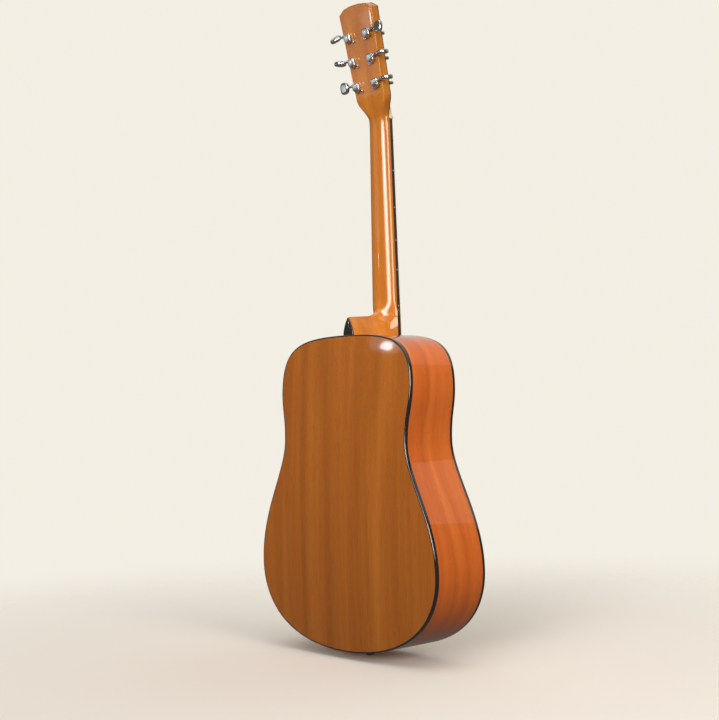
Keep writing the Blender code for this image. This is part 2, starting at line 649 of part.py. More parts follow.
def make_bridge_pins():
    """Slotted pins: each shaft has a flute on its saddle side for the string."""
    for index in range(6):
        x = string_x(index, BRIDGE_SPREAD)
        seat = -GAP - BRIDGE_THICKNESS
        place = Matrix.Translation(at(x, seat, PIN_Z))
        profile = [(0.0012, PIN_LENGTH), (0.0021, PIN_LENGTH - 0.0015), (PIN_RADIUS, -GAP), (0.0036, -GAP),
                   (0.0038, -0.0012), (0.0034, -0.0026), (0.0020, -0.0038)]
        pin = turned(f"bridge_pin_{index + 1}", profile, "Y", PIN, 12, GUITAR, place)
        groove = STRING_RADII[index] + GAP
        deep = PIN_RADIUS - 2 * groove
        flute = box(f"flute_cutter_{index + 1}", Vector((-groove, -GAP / 2, deep)),
                    Vector((groove, PIN_LENGTH + CUT_PAST, CUT_PAST)), CUTTER, GUITAR, place)
        cut(pin, flute)


def tube(name, points, radii, finish_material, count=6):
    """A round wire along points, each with its own radius."""
    sections = []
    side = Vector((1, 0, 0))
    for i, point in enumerate(points):
        way = (points[min(i + 1, len(points) - 1)] - points[max(i - 1, 0)]).normalized()
        side = (side - way * side.dot(way)).normalized()
        other = way.cross(side)
        sections.append([point + radii[i] * (math.cos(a) * side + math.sin(a) * other)
                         for a in (2 * math.pi * (k + 0.5) / count for k in range(count))])
    return loft(name, sections, finish_material, parent=GUITAR)


def post_of(index):
    """(side, step) of a string's tuner: bass strings on the bass side, outer ones nearest the nut."""
    return (-1, index) if index < 3 else (1, 5 - index)


def make_strings():
    for index, radius in enumerate(STRING_RADII):
        side, step = post_of(index)
        x = string_x(index, BRIDGE_SPREAD)
        hole_z = PIN_Z + PIN_RADIUS + PIN_CLEARANCE - GAP - radius
        seat = -GAP - BRIDGE_THICKNESS
        inside = TOP_THICKNESS + GAP + 0.0025
        saddle_z = SADDLE_Z + x * math.tan(SADDLE_SLANT)
        ball = 0.0013
        hook, ball_z = inside + GAP + ball, PIN_Z + PIN_RADIUS + 3 * GAP
        points = [at(x, hook, ball_z + 0.0033), at(x, hook, ball_z + 0.0030), at(x, hook, ball_z),
                  at(x, hook, ball_z - 0.0001), at(x, hook, hole_z + 0.0006), at(x, hook - 0.0006, hole_z),
                  at(x, seat + 0.0022, hole_z), at(x, seat + 0.0012, hole_z + 0.0004),
                  at(x, seat + 0.0006, hole_z + 0.0016), at(x, STRING_AT_SADDLE - radius, saddle_z)]
        radii = [ball * 0.7, ball, ball, *[radius] * 7]
        nut_x = string_x(index, NUT_SPREAD)
        points += [at(nut_x, STRING_AT_NUT - radius, NUT_Z + 0.0002)]
        lift = -GAP - VENEER - 0.0085
        post = head_point(side * POST_X, lift, POST_STEPS[step])
        start = points[-1]
        reach = POST_RADIUS + radius + GAP
        flat = Vector((post.x - start.x, 0, post.z - start.z))
        lean = math.atan2(flat.x, flat.z) - side * math.asin(reach / flat.length)
        length = math.sqrt(flat.length_squared - reach**2)
        touch = Vector((start.x + length * math.sin(lean), post.y, start.z + length * math.cos(lean)))
        way = (touch - start).normalized()
        points += [touch - way * 0.0045]
        radii += [radius, radius]
        tube(f"string_{index + 1}", points, radii, (WOUND if index < 4 else PLAIN))


def make_housing(number, side, place):
    """A pointed casting with a screw ear, hollow for the wheel and the worm."""
    back = HEAD_THICKNESS + GAP
    shape = [(-0.0055, 0.0095), (0.0085, 0.0095), (0.0085, -0.0015), (0.0018, -0.0070), (-0.0055, -0.0025)]
    outline = [(side * u, s) for u, s in shape]
    housing = prism(f"tuner_housing_{number}", outline, back, back + HOUSING_HEIGHT, CHROME, HEAD, place)
    ear_place = place @ Matrix.Translation((-side * 0.0068, 0, -0.0045))
    ear = [(EAR_RADIUS, back), (EAR_RADIUS, back + 0.0022)]
    weld(housing, turned(f"ear_{number}", ear, "Y", CHROME, 12, HEAD, ear_place))
    worm_place = place @ Matrix.Translation((0, WORM_DEPTH, WORM_OFFSET))
    pocket_radius = WHEEL_RADIUS + 0.0007
    pocket = turned(f"pocket_cutter_{number}", [(pocket_radius, 0), (pocket_radius, WHEEL_BACK + GAP)], "Y",
                    CUTTER, 16, HEAD, place)
    tunnel_radius = WORM_RADIUS + 0.0006
    tunnel_ends = [(tunnel_radius, -side * 0.0042), (tunnel_radius, side * 0.0068)]
    tunnel = turned(f"tunnel_cutter_{number}", tunnel_ends, "X", CUTTER, 12, HEAD, worm_place)
    bore_radius = SHAFT_RADIUS + 0.0004
    bore_ends = [(bore_radius, 0), (bore_radius, side * 0.02)]
    bore = turned(f"bore_cutter_{number}", bore_ends, "X", CUTTER, 12, HEAD, worm_place)
    cut(housing, pocket, tunnel, bore)


def make_button(number, side, place, turn):
    """Worm, shaft, collar and an oval button, all turning about the worm's axis."""
    axis_place = place @ Matrix.Translation((0, WORM_DEPTH, WORM_OFFSET)) @ Matrix.Rotation(turn, 4, "X")
    profile = [(WORM_RADIUS, -0.0036), (WORM_RADIUS, 0.0056), (SHAFT_RADIUS, 0.0062), (SHAFT_RADIUS, 0.0092),
               (0.0032, 0.0093), (0.0032, 0.0110), (0.0020, 0.0122), (0.0020, 0.0199), (0.0030, 0.0206),
               (0.0030, 0.0284)]
    sided = [(r, side * u) for r, u in profile]
    button = turned(f"tuner_button_{number}", sided, "X", CHROME, 12, HEAD, axis_place)
    edge = ((0, 0.0040), (0.0013, 0.0072), (0.0048, 0.0094), (0.0098, 0.0102), (0.0148, 0.0096), (0.0176, 0.0070))
    half = [(u + GRIP_START, w) for u, w in edge]
    outline = [(side * u, w) for u, w in half] + [(side * u, -w) for u, w in reversed(half)]
    middle = side * (GRIP_START + 0.0088)
    sections = []
    for y, share in ((-0.0038, 0.86), (-0.0026, 1.0), (0.0026, 1.0), (0.0038, 0.86)):
        sections.append([Vector((middle + (u - middle) * share, y, w * share)) for u, w in outline])
    weld(button, loft(f"grip_{number}", sections, CHROME, parent=HEAD, place=axis_place))


def make_post(number, wire, place):
    """The wheel, the post through the head and three turns of string, as one turned piece."""
    front = -GAP - VENEER
    coil_radius = POST_RADIUS + wire
    coil = front - 0.0065
    coil_end = coil - 3 * wire
    top = front - POST_HEIGHT
    neck_radius = POST_RADIUS * 0.88
    wheel_front = WHEEL_BACK - 0.0050
    profile = [(WHEEL_RADIUS, WHEEL_BACK), (WHEEL_RADIUS, wheel_front), (POST_RADIUS, wheel_front),
               (POST_RADIUS, coil), (coil_radius, coil), (coil_radius, coil_end),
               (neck_radius, coil_end - 0.0001), (neck_radius, top + 0.0050), (POST_RADIUS, top + 0.0040),
               (POST_RADIUS, top + 0.0008), (POST_RADIUS * 0.8, top)]
    turned(f"tuner_post_{number}", profile, "Y", CHROME, 12, HEAD, place)


def make_tuner(index):
    """One sealed machine: a housing, the button with its worm, and the post with its wheel and winding."""
    side, step = post_of(index)
    place = Matrix.Translation((side * POST_X, 0, POST_STEPS[step]))
    make_housing(index + 1, side, place)
    make_button(index + 1, side, place, math.radians(BUTTON_TURNS[index]))
    make_post(index + 1, 2 * STRING_RADII[index], place)


def make_end_pin():
    profile = [(0.0038, 0.0200), (END_PIN_RADIUS, -GAP), (0.0068, -GAP), (0.0072, -0.0020), (0.0050, -0.0042),
               (0.0050, -0.0068), (0.0072, -0.0090), (0.0070, -0.0116), (0.0052, -0.0126)]
    turned("end_pin", profile, "Z", PIN, 16, GUITAR)


def make_pickguard():
    edge = ROSETTE_OUTER + 0.0015
    start, stop = math.radians(50), math.radians(-70)
    outline = []
    for i in range(13):
        turn = start + (stop - start) * i / 13
        outline.append((edge * math.cos(turn), HOLE_Z + edge * math.sin(turn)))
    low = (edge * math.cos(stop), HOLE_Z + edge * math.sin(stop))
    arcs = ((low, (0.024, 0.262), (0.060, 0.243), (0.088, 0.247)),
            ((0.088, 0.247), (0.112, 0.250), (0.125, 0.290), (0.121, 0.330)),
            ((0.121, 0.330), (0.116, 0.370), (0.078, 0.398), outline[0]))
    for arc in arcs:
        outline += [(p.x, p.y) for p, _ in cubic(*arc, 7)]
    prism("pickguard", outline, TOP_Y - GAP - 0.0012, TOP_Y - GAP, PICKGUARD, GUITAR)


for old in list(bpy.data.objects):
    bpy.data.objects.remove(old)

SPRUCE = material("spruce", (0.72, 0.47, 0.22), 0.25)
BACK_WOOD = material("back_wood", (0.23, 0.085, 0.020), 0.22)
SIDE_WOOD = material("side_wood", (0.46, 0.12, 0.028), 0.22)
NECK_WOOD = material("neck_wood", (0.50, 0.19, 0.045), 0.28)
BINDING = material("black_binding", (0.008, 0.007, 0.007), 0.15)
LINING = material("lining_wood", (0.55, 0.38, 0.20), 0.6)
BLOCK = material("block_wood", (0.45, 0.25, 0.11), 0.6)
BRACE = material("brace_wood", (0.66, 0.48, 0.28), 0.6)
PLATE_WOOD = material("plate_wood", (0.60, 0.42, 0.24), 0.5)
ROSETTE = material("rosette", (0.05, 0.04, 0.035), 0.3)
PICKGUARD = material("pickguard", (0.012, 0.009, 0.008), 0.15)
BOARD_WOOD = material("fretboard_wood", (0.030, 0.018, 0.012), 0.45)
BRIDGE_WOOD = material("bridge_wood", (0.030, 0.018, 0.012), 0.45)
BONE = material("bone", (0.80, 0.75, 0.62), 0.35)
VENEER_WOOD = material("head_veneer", (0.015, 0.010, 0.008), 0.2)
PIN = material("pin_plastic", (0.010, 0.010, 0.010), 0.25)
CHROME = material("chrome", (0.60, 0.60, 0.61), 0.12, 1.0)
STEEL = material("rod_steel", (0.35, 0.35, 0.36), 0.35, 1.0)
PLAIN = material("plain_string", (0.62, 0.62, 0.63), 0.25, 1.0)
WOUND = material("wound_string", (0.55, 0.36, 0.18), 0.35, 1.0)
CUTTER = material("cutter", (1.0, 0.0, 0.0))

GUITAR = empty("guitar")
HEAD_PLACE = Matrix.Translation(at(0, 0.0004, NUT_Z)) @ Euler((-HEAD_TILT, 0, 0)).to_matrix().to_4x4()
HEAD = empty("head_frame", GUITAR, HEAD_PLACE)
PIN_HOLES = rods("pin_hole_cutter", [(string_x(i, BRIDGE_SPREAD), PIN_Z) for i in range(6)],
                 PIN_RADIUS + PIN_CLEARANCE, TOP_Y - 0.02, TOP_Y + 0.02, "Y", 12, GUITAR)
END_PIN_BORE = rods("end_pin_bore_cutter", [(0, 0)], END_PIN_RADIUS + GAP, -0.01, 0.03, "Z", 16, GUITAR)
POST_HOLES = rods("post_hole_cutter", [(side * POST_X, s) for side in (-1, 1) for s in POST_STEPS],
                  0.0042, -0.02, 0.04, "Y", 12, HEAD)

make_soundboard()
make_back()
make_rim()
make_blocks()
make_top_bracing()
make_back_bracing()
make_neck()
make_head_veneer()
make_fretboard()
make_nut()
make_heel_cap()
make_truss_rod()
make_bridge()
make_bridge_pins()
make_strings()
for tuner in range(6):
    make_tuner(tuner)
make_end_pin()
make_pickguard()
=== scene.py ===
"""Looks of a steel-string acoustic guitar: lacquered woods, bindings, frets, strings and geared tuners.

Metres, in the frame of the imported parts: +Z runs up the neck, the soundboard faces -Y, the back faces +Y
and the bass side is at -X. Depths, called v, are counted from the soundboard's face into the body.
"""
import json
import math

import bmesh
import bpy
from mathutils import Matrix, Vector


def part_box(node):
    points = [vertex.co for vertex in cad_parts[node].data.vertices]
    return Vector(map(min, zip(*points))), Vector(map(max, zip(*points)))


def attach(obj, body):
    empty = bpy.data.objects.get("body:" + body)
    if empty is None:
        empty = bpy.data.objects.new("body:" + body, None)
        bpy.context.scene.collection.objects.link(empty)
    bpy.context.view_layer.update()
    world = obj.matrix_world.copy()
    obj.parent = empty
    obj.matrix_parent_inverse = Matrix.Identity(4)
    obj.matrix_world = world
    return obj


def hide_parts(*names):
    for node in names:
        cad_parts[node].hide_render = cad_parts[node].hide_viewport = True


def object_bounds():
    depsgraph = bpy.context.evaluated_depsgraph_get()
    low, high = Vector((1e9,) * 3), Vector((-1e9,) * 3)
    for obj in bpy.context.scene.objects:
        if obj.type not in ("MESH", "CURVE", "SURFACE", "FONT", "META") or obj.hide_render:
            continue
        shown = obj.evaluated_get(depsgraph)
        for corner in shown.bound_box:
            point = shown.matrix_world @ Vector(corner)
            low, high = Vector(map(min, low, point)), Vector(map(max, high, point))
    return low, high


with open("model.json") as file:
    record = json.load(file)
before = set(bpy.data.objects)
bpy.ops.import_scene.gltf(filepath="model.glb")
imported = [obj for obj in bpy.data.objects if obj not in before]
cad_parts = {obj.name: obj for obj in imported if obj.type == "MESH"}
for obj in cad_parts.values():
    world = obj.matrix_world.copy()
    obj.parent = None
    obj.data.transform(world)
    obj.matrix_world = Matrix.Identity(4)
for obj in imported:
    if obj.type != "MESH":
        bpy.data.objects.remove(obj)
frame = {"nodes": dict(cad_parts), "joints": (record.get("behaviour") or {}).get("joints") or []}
CAD_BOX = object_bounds()
JOINTS = {joint["name"]: joint for joint in frame["joints"]}

# Body
RIM_LOW, RIM_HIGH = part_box("top_binding")
TOP_Y, LOWER_BOUT, BODY_LENGTH = RIM_LOW.y, RIM_HIGH.x, RIM_HIGH.z
LOWER_BOUT_Z = 0.134
WAIST, WAIST_Z = 0.1435, 0.334
UPPER_BOUT, UPPER_BOUT_Z = 0.153, 0.420
TAIL_DEPTH, NECK_END_DEPTH, BACK_RADIUS = 0.112, 0.097, 4.6
TOP_THICKNESS, BACK_THICKNESS, SIDE_THICKNESS = 0.0030, 0.0026, 0.0025
BINDING_WIDTH, BINDING_HEIGHT, BINDING_ROUND = 0.0025, 0.0060, 0.0014
LINING_WIDTH, LINING_FOOT, GLUE_GAP = 0.0058, 0.0140, 0.0003
ARC_STEPS = 40
HOLE = Vector((0, TOP_Y, 0.354))
HOLE_RADIUS, ROSETTE_INNER, ROSETTE_OUTER, ROSETTE_DEPTH = 0.050, 0.054, 0.062, 0.0012

# Neck and head
SCALE, FRETS = 0.650, 20
NUT_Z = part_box("nut")[0].z
NUT_HALF, JOIN_HALF = 0.0215, 0.0275
NECK_LENGTH = NUT_Z - BODY_LENGTH
NECK_DEPTH_NUT, NECK_DEPTH_HEEL = 0.0148, 0.0155
BOARD_THICKNESS, BOARD_RADIUS = 0.0068, 0.400
BOARD_END_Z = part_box("fretboard")[0].z
HEEL_DEPTH, HEEL_LENGTH, HEEL_CAP_HALF, HEEL_CAP_THICKNESS = 0.084, 0.030, 0.011, 0.0027
HEEL_CURVE_DEPTH, HEEL_CURVE_LENGTH = 0.045, 0.057
HEEL_FLARE, HEEL_FLARE_REACH = 0.0035, 0.0045
TENON_HALF, TENON_FRONT, TENON_BACK, TENON_LENGTH = 0.010, 0.0067, 0.075, 0.018
TENON_POWER = 0.12
POST_AXIS = Vector(JOINTS["post_spin_1"]["axis"])
HEAD_TILT = math.atan2(POST_AXIS.z, -POST_AXIS.y)
HEAD_SET = 0.0004
HEAD_PLACE = Matrix.Translation((0, TOP_Y + HEAD_SET, NUT_Z)) @ Matrix.Rotation(-HEAD_TILT, 4, "X")
HEAD_THICKNESS, VENEER = 0.0150, 0.0018
HEAD_LENGTH, HEAD_CORNER, HEAD_FLARE = 0.191, 0.1808, 0.040
HEAD_TOP_HALF, HEAD_BASE_HALF = 0.0385, 0.033
HEAD_CROWN = ((0.026, 0.1886), (0.011, HEAD_LENGTH))

# Strings, bridge and tuners
BALL_RADIUS, COIL_TURNS = 0.0013, 3.2
STRING_RADII = (0.00067, 0.00053, 0.00041, 0.00031, 0.00020, 0.00015)
NUT_SPREAD, BRIDGE_SPREAD = 0.0355, 0.0550
STRING_AT_NUT, STRING_AT_SADDLE = -0.0083, -0.0121
SADDLE_Z, SADDLE_SLANT, PIN_SETBACK = NUT_Z - SCALE - 0.002, math.radians(2), 0.018
PIN_Z, PIN_RADIUS, PIN_LENGTH, PIN_CLEARANCE = SADDLE_Z - PIN_SETBACK, 0.0025, 0.0180, 0.0003
BRIDGE_THICKNESS = 0.0093
POST_X, POST_STEPS, POST_RADIUS, POST_HEIGHT = 0.021, (0.057, 0.098, 0.139), 0.0030, 0.0200
WORM_STEP, WORM_DEPTH, WHEEL_RADIUS, WHEEL_BACK = 0.0061, 0.0193, 0.0040, 0.0221
POST_BORE, BUSHING_PLAY = 0.0042, 0.0001
BUTTON_TURNS = (90, 90, 15, 62, 100, 5)


def at(x, v, z):
    """A point at depth v behind the soundboard's face."""
    return Vector((x, TOP_Y + v, z))


def smoothstep(low, high, value):
    share = min(1.0, max(0.0, (value - low) / (high - low)))
    return share * share * (3 - 2 * share)


# Camera

CAMERA_TURN, CAMERA_RISE, CAMERA_ROLL = math.radians(227.13), math.radians(-1.65), math.radians(-1.54)
CAMERA_DISTANCE, CAMERA_AIM, CAMERA_LENS = 2.2235, Vector((0.0083, -0.001, 0.4655)), 67.97


def camera_axes():
    turn, rise, roll = CAMERA_TURN, CAMERA_RISE, CAMERA_ROLL
    back = Vector((math.sin(turn) * math.cos(rise), -math.cos(turn) * math.cos(rise), math.sin(rise)))
    level = Vector((math.cos(turn), math.sin(turn), 0))
    upright = back.cross(level)
    right = math.cos(roll) * level + math.sin(roll) * upright
    return right, -math.sin(roll) * level + math.cos(roll) * upright, back


def make_camera():
    right, up, back = camera_axes()
    data = bpy.data.cameras.new("camera")
    data.lens = CAMERA_LENS
    made = bpy.data.objects.new("camera", data)
    bpy.context.scene.collection.objects.link(made)
    made.matrix_world = Matrix((right, up, back)).transposed().to_4x4()
    made.matrix_world.translation = CAMERA_AIM + back * CAMERA_DISTANCE
    bpy.context.scene.camera = made


make_camera()


# Finishes

class Finish:
    """A material under construction: each call adds a node and returns the output that is used next."""

    def __init__(self, name, roughness=0.4, metallic=0.0, coat=0.0, coat_roughness=0.05):
        self.material = bpy.data.materials.new(name)
        self.material.use_nodes = True
        self.tree = self.material.node_tree
        self.shader = self.tree.nodes["Principled BSDF"]
        self.shader.inputs["Roughness"].default_value = roughness
        self.shader.inputs["Metallic"].default_value = metallic
        self.shader.inputs["Coat Weight"].default_value = coat
        self.shader.inputs["Coat Roughness"].default_value = coat_roughness

    def node(self, kind, inputs=None, **settings):
        made = self.tree.nodes.new("ShaderNode" + kind)
        for name, value in settings.items():
            setattr(made, name, value)
        for name, value in (inputs or {}).items():
            if isinstance(value, bpy.types.NodeSocket):
                self.tree.links.new(value, made.inputs[name])
            else:
                made.inputs[name].default_value = value
        return made

    def place(self, scale, turn=(0, 0, 0), grain_map=False):
        """Coordinates for a pattern, stretched by scale: the object's own, or its grain map."""
        source = self.node("UVMap", uv_map="grain").outputs["UV"] if grain_map else None
        if source is None:
            source = self.node("TexCoord").outputs["Object"]
        return self.node("Mapping", {"Vector": source, "Scale": scale, "Rotation": turn}).outputs["Vector"]

    def noise(self, vector, scale, detail=2.0, rough=0.5, distortion=0.0):
        inputs = {"Vector": vector, "Scale": scale, "Detail": detail, "Roughness": rough,
                  "Distortion": distortion}
        return self.node("TexNoise", inputs).outputs["Fac"]

    def rise(self, value, low, high, to_low=0.0, to_high=1.0):
        inputs = {"Value": value, "From Min": low, "From Max": high, "To Min": to_low, "To Max": to_high}
        return self.node("MapRange", inputs).outputs["Result"]

    def math(self, operation, first, second):
        return self.node("Math", {0: first, 1: second}, operation=operation).outputs[0]

    def ramp(self, value, *stops):
        made = self.node("ValToRGB", {"Fac": value})
        band = made.color_ramp
        while len(band.elements) < len(stops):
            band.elements.new(0.5)
        for element, (place, colour) in zip(band.elements, stops):
            element.position = place
            element.color = (*colour, 1.0)
        return made.outputs["Color"]

    def blend(self, share, first, second, mode="MIX"):
        made = self.node("Mix", {0: share}, data_type="RGBA", blend_type=mode)
        for socket, value in ((6, first), (7, second)):
            if isinstance(value, bpy.types.NodeSocket):
                self.tree.links.new(value, made.inputs[socket])
            else:
                made.inputs[socket].default_value = (*value, 1.0)
        return made.outputs[2]

    def colour(self, output):
        self.tree.links.new(output, self.shader.inputs["Base Color"])

    def roughness(self, output):
        self.tree.links.new(output, self.shader.inputs["Roughness"])

    def relief(self, height, depth, strength=1.0, under="Normal"):
        made = self.node("Bump", {"Height": height, "Distance": depth, "Strength": strength})
        self.tree.links.new(made.outputs["Normal"], self.shader.inputs[under])


LACQUER_WAVES = 38.0
BASE_SHEEN = 0.12
HARDWOOD_FIBRE, SOFTWOOD_FIBRE = 900.0, 420.0


def lacquered_wood(name, tones, pore_tone, band=26.0, stretch=0.030, grain_map=False):
    """Open-pored hardwood under gloss lacquer: broad bands, fine fibres and short dark pores."""
    made = Finish(name, coat=1.0, coat_roughness=0.04)
    made.shader.inputs["Specular IOR Level"].default_value = BASE_SHEEN
    along = (stretch, 1, 1) if grain_map else (1, 1, stretch)
    vector = made.place(along, grain_map=grain_map)
    bands = made.noise(vector, band, 3.0, 0.55, 0.25)
    fibres = made.noise(vector, HARDWOOD_FIBRE, 4.0, 0.62)
    drift = made.math("ADD", made.rise(bands, 0.25, 0.75, 0.0, 0.72),
                      made.rise(fibres, 0.3, 0.7, 0.0, 0.28))
    colour = made.ramp(drift, (0.0, tones[0]), (0.5, tones[1]), (1.0, tones[2]))
    pores = made.rise(made.noise(vector, HARDWOOD_FIBRE * 2.1, 2.0, 0.7), 0.60, 0.68)
    made.colour(made.blend(made.math("MULTIPLY", pores, 0.55), colour, pore_tone))
    made.roughness(made.rise(fibres, 0.3, 0.7, 0.34, 0.50))
    made.relief(made.math("SUBTRACT", made.math("MULTIPLY", fibres, 0.4), pores), 0.00004, 0.35)
    swell = made.noise(made.place((1, 1, 1), grain_map=grain_map), LACQUER_WAVES, 2.0, 0.4)
    made.relief(swell, 0.0004, 0.10, "Coat Normal")
    return made.material


def spruce():
    """Quartered softwood, bookmatched on the centre line: dark growth lines that open out to the edges."""
    made = Finish("spruce", coat=1.0, coat_roughness=0.04)
    spot = made.node("TexCoord").outputs["Object"]
    parts = made.node("SeparateXYZ", {0: spot}).outputs
    matched = made.node("Math", {0: parts["X"]}, operation="ABSOLUTE").outputs[0]
    opened = made.math("POWER", matched, 0.86)
    drawn_out = made.math("MULTIPLY", parts["Z"], 0.012)
    lined = made.node("CombineXYZ", {"X": opened, "Y": parts["Y"], "Z": drawn_out})
    wander = made.noise(lined.outputs[0], 9.0, 2.0)
    lines = made.node("TexWave", {"Vector": lined.outputs[0], "Scale": 125.0, "Distortion": 2.2,
                                  "Detail": 2.0, "Detail Scale": 1.4}, wave_profile="SAW").outputs["Fac"]
    late = made.rise(lines, 0.55, 1.0)
    silk = made.noise(made.place((1, 1, 0.08)), 700.0, 3.0)
    tone = made.ramp(made.math("ADD", made.math("MULTIPLY", wander, 0.6), made.math("MULTIPLY", silk, 0.4)),
                     (0.25, (0.66, 0.40, 0.17)), (0.55, (0.76, 0.50, 0.24)), (0.8, (0.82, 0.58, 0.31)))
    made.colour(made.blend(made.math("MULTIPLY", late, 0.62), tone, (0.42, 0.20, 0.065)))
    made.roughness(made.rise(silk, 0.3, 0.7, 0.36, 0.50))
    made.relief(late, 0.00003, 0.3)
    swell = made.noise(made.place((1, 1, 1)), LACQUER_WAVES, 2.0, 0.4)
    made.relief(swell, 0.0004, 0.10, "Coat Normal")
    return made.material


def bare_wood(name, pale, dark, turn=(0, 0, 0)):
    """Unfinished softwood inside the box: open fibre, no gloss."""
    made = Finish(name, roughness=0.7)
    vector = made.place((1, 1, 0.05), turn)
    fibres = made.noise(vector, SOFTWOOD_FIBRE, 4.0, 0.6)
    lines = made.noise(vector, 90.0, 2.0)
    mixed = made.math("ADD", made.math("MULTIPLY", fibres, 0.5), made.math("MULTIPLY", lines, 0.5))
    made.colour(made.ramp(mixed, (0.3, dark), (0.7, pale)))
    made.roughness(made.rise(fibres, 0.3, 0.7, 0.6, 0.82))
    made.relief(fibres, 0.0001, 0.5)
    return made.material


def oiled_rosewood(name):
    """Dark oiled rosewood of the fretboard and bridge: black-brown streaks and open pores."""
    made = Finish(name, roughness=0.42)
    vector = made.place((1, 1, 0.035))
    streaks = made.noise(vector, 150.0, 4.0, 0.6, 0.4)
    pores = made.rise(made.noise(vector, 1900.0, 2.0, 0.7), 0.58, 0.66)
    colour = made.ramp(streaks, (0.3, (0.008, 0.005, 0.004)), (0.5, (0.026, 0.013, 0.008)),
                       (0.72, (0.060, 0.028, 0.015)))
    made.colour(made.blend(made.math("MULTIPLY", pores, 0.7), colour, (0.004, 0.003, 0.002)))
    made.roughness(made.rise(streaks, 0.3, 0.7, 0.34, 0.52))
    made.relief(made.math("SUBTRACT", streaks, pores), 0.00008, 0.5)
    return made.material


def moulded(name, dark, pale, roughness=0.18, coat=0.0):
    """Polished plastic with faint buffing marks."""
    made = Finish(name, roughness=roughness, coat=coat)
    marks = made.noise(made.place((1, 1, 1)), 260.0, 3.0, 0.6)
    made.colour(made.ramp(marks, (0.35, dark), (0.7, pale)))
    made.roughness(made.rise(marks, 0.3, 0.7, roughness * 0.8, roughness * 1.4))
    made.relief(made.noise(made.place((1, 1, 1)), 60.0, 2.0), 0.0001, 0.12)
    return made.material


def ringed():
    """The rosette's rings: dark and pale lines about the sound hole, with a mottled middle band."""
    made = Finish("rosette", coat=1.0, coat_roughness=0.04)
    spot = made.node("Mapping", {"Vector": made.node("TexCoord").outputs["Object"],
                                 "Location": (-HOLE.x, 0, -HOLE.z)}).outputs["Vector"]
    parts = made.node("SeparateXYZ", {0: spot}).outputs
    level = made.node("CombineXYZ", {"X": parts["X"], "Z": parts["Z"]}).outputs[0]
    reach = made.node("VectorMath", {0: level}, operation="LENGTH").outputs["Value"]
    share = made.rise(reach, ROSETTE_INNER, ROSETTE_OUTER)
    dark, pale, middle = (0.010, 0.007, 0.005), (0.70, 0.60, 0.40), (0.30, 0.11, 0.030)
    lines = made.ramp(share, (0.0, dark), (0.10, pale), (0.17, dark), (0.30, middle), (0.70, dark),
                      (0.83, pale), (0.90, dark))
    lines.node.color_ramp.interpolation = "CONSTANT"
    fleck = made.noise(made.place((1, 1, 1)), 700.0, 3.0)
    made.colour(made.blend(made.rise(fleck, 0.4, 0.7, 0.0, 0.5), lines, (0.05, 0.02, 0.01), "MULTIPLY"))
    made.roughness(made.rise(fleck, 0.3, 0.7, 0.25, 0.4))
    return made.material


def tortoise():
    """Dark tortoiseshell celluloid with amber clouds."""
    made = Finish("pickguard", roughness=0.10)
    clouds = made.noise(made.place((1, 1, 1)), 55.0, 4.0, 0.6, 1.6)
    made.colour(made.ramp(clouds, (0.42, (0.008, 0.004, 0.003)), (0.56, (0.045, 0.014, 0.005)),
                          (0.74, (0.30, 0.085, 0.014))))
    made.roughness(made.rise(clouds, 0.3, 0.7, 0.08, 0.14))
    return made.material


def bone():
    made = Finish("bone", roughness=0.32)
    veins = made.noise(made.place((0.3, 1, 1)), 500.0, 3.0, 0.6)
    made.colour(made.ramp(veins, (0.35, (0.66, 0.58, 0.42)), (0.65, (0.80, 0.75, 0.62))))
    made.roughness(made.rise(veins, 0.3, 0.7, 0.26, 0.42))
    made.shader.inputs["Subsurface Weight"].default_value = 0.15
    made.shader.inputs["Subsurface Scale"].default_value = 0.001
    return made.material


def pearl():
    """Shell inlay: pale, with soft cloudy patches."""
    made = Finish("pearl", roughness=0.16, coat=0.6)
    clouds = made.noise(made.place((1, 1, 0.4)), 420.0, 3.0, 0.6, 1.5)
    made.colour(made.ramp(clouds, (0.35, (0.42, 0.46, 0.42)), (0.55, (0.68, 0.68, 0.62)),
                          (0.72, (0.72, 0.62, 0.60))))
    made.roughness(made.rise(clouds, 0.3, 0.7, 0.12, 0.26))
    return made.material


def plated(name, dark, pale, roughness=0.16):
    """Chrome plate with faint polishing marks."""
    made = Finish(name, roughness=roughness, metallic=1.0)
    marks = made.noise(made.place((1, 1, 1)), 180.0, 3.0, 0.6)
    made.colour(made.ramp(marks, (0.3, dark), (0.7, pale)))
    made.roughness(made.rise(marks, 0.3, 0.7, roughness * 0.7, roughness * 1.6))
    made.relief(made.noise(made.place((1, 1, 1)), 700.0, 2.0), 0.00003, 0.2)
    return made.material


def wire(name, colour, shade, pitch=0.0):
    """String wire. With a pitch, it is wrapped: the grain map's first value runs along the string."""
    made = Finish(name, roughness=0.28, metallic=1.0)
    if not pitch:
        marks = made.noise(made.place((1, 1, 0.02)), 2500.0, 2.0)
        made.colour(made.ramp(marks, (0.3, shade), (0.7, colour)))
        made.roughness(made.rise(marks, 0.3, 0.7, 0.20, 0.34))
        return made.material
    vector = made.place((1 / pitch, 0.6, 1), grain_map=True)
    turns = made.node("TexWave", {"Vector": vector, "Scale": 0.5, "Distortion": 0.0}).outputs["Fac"]
    tarnish = made.noise(made.place((1, 1, 0.1)), 90.0, 2.0)
    bright = made.ramp(tarnish, (0.35, shade), (0.7, colour))
    # Painted shade: dark brown is blended into the colour in the groove between each pair of wraps, strongest
    # at the bottom of the groove, on top of the tarnish tones.
    made.colour(made.blend(made.rise(turns, 0.0, 0.5, 0.7, 0.0), bright, (0.10, 0.05, 0.02)))
    made.relief(turns, 0.00008, 0.9)
    return made.material


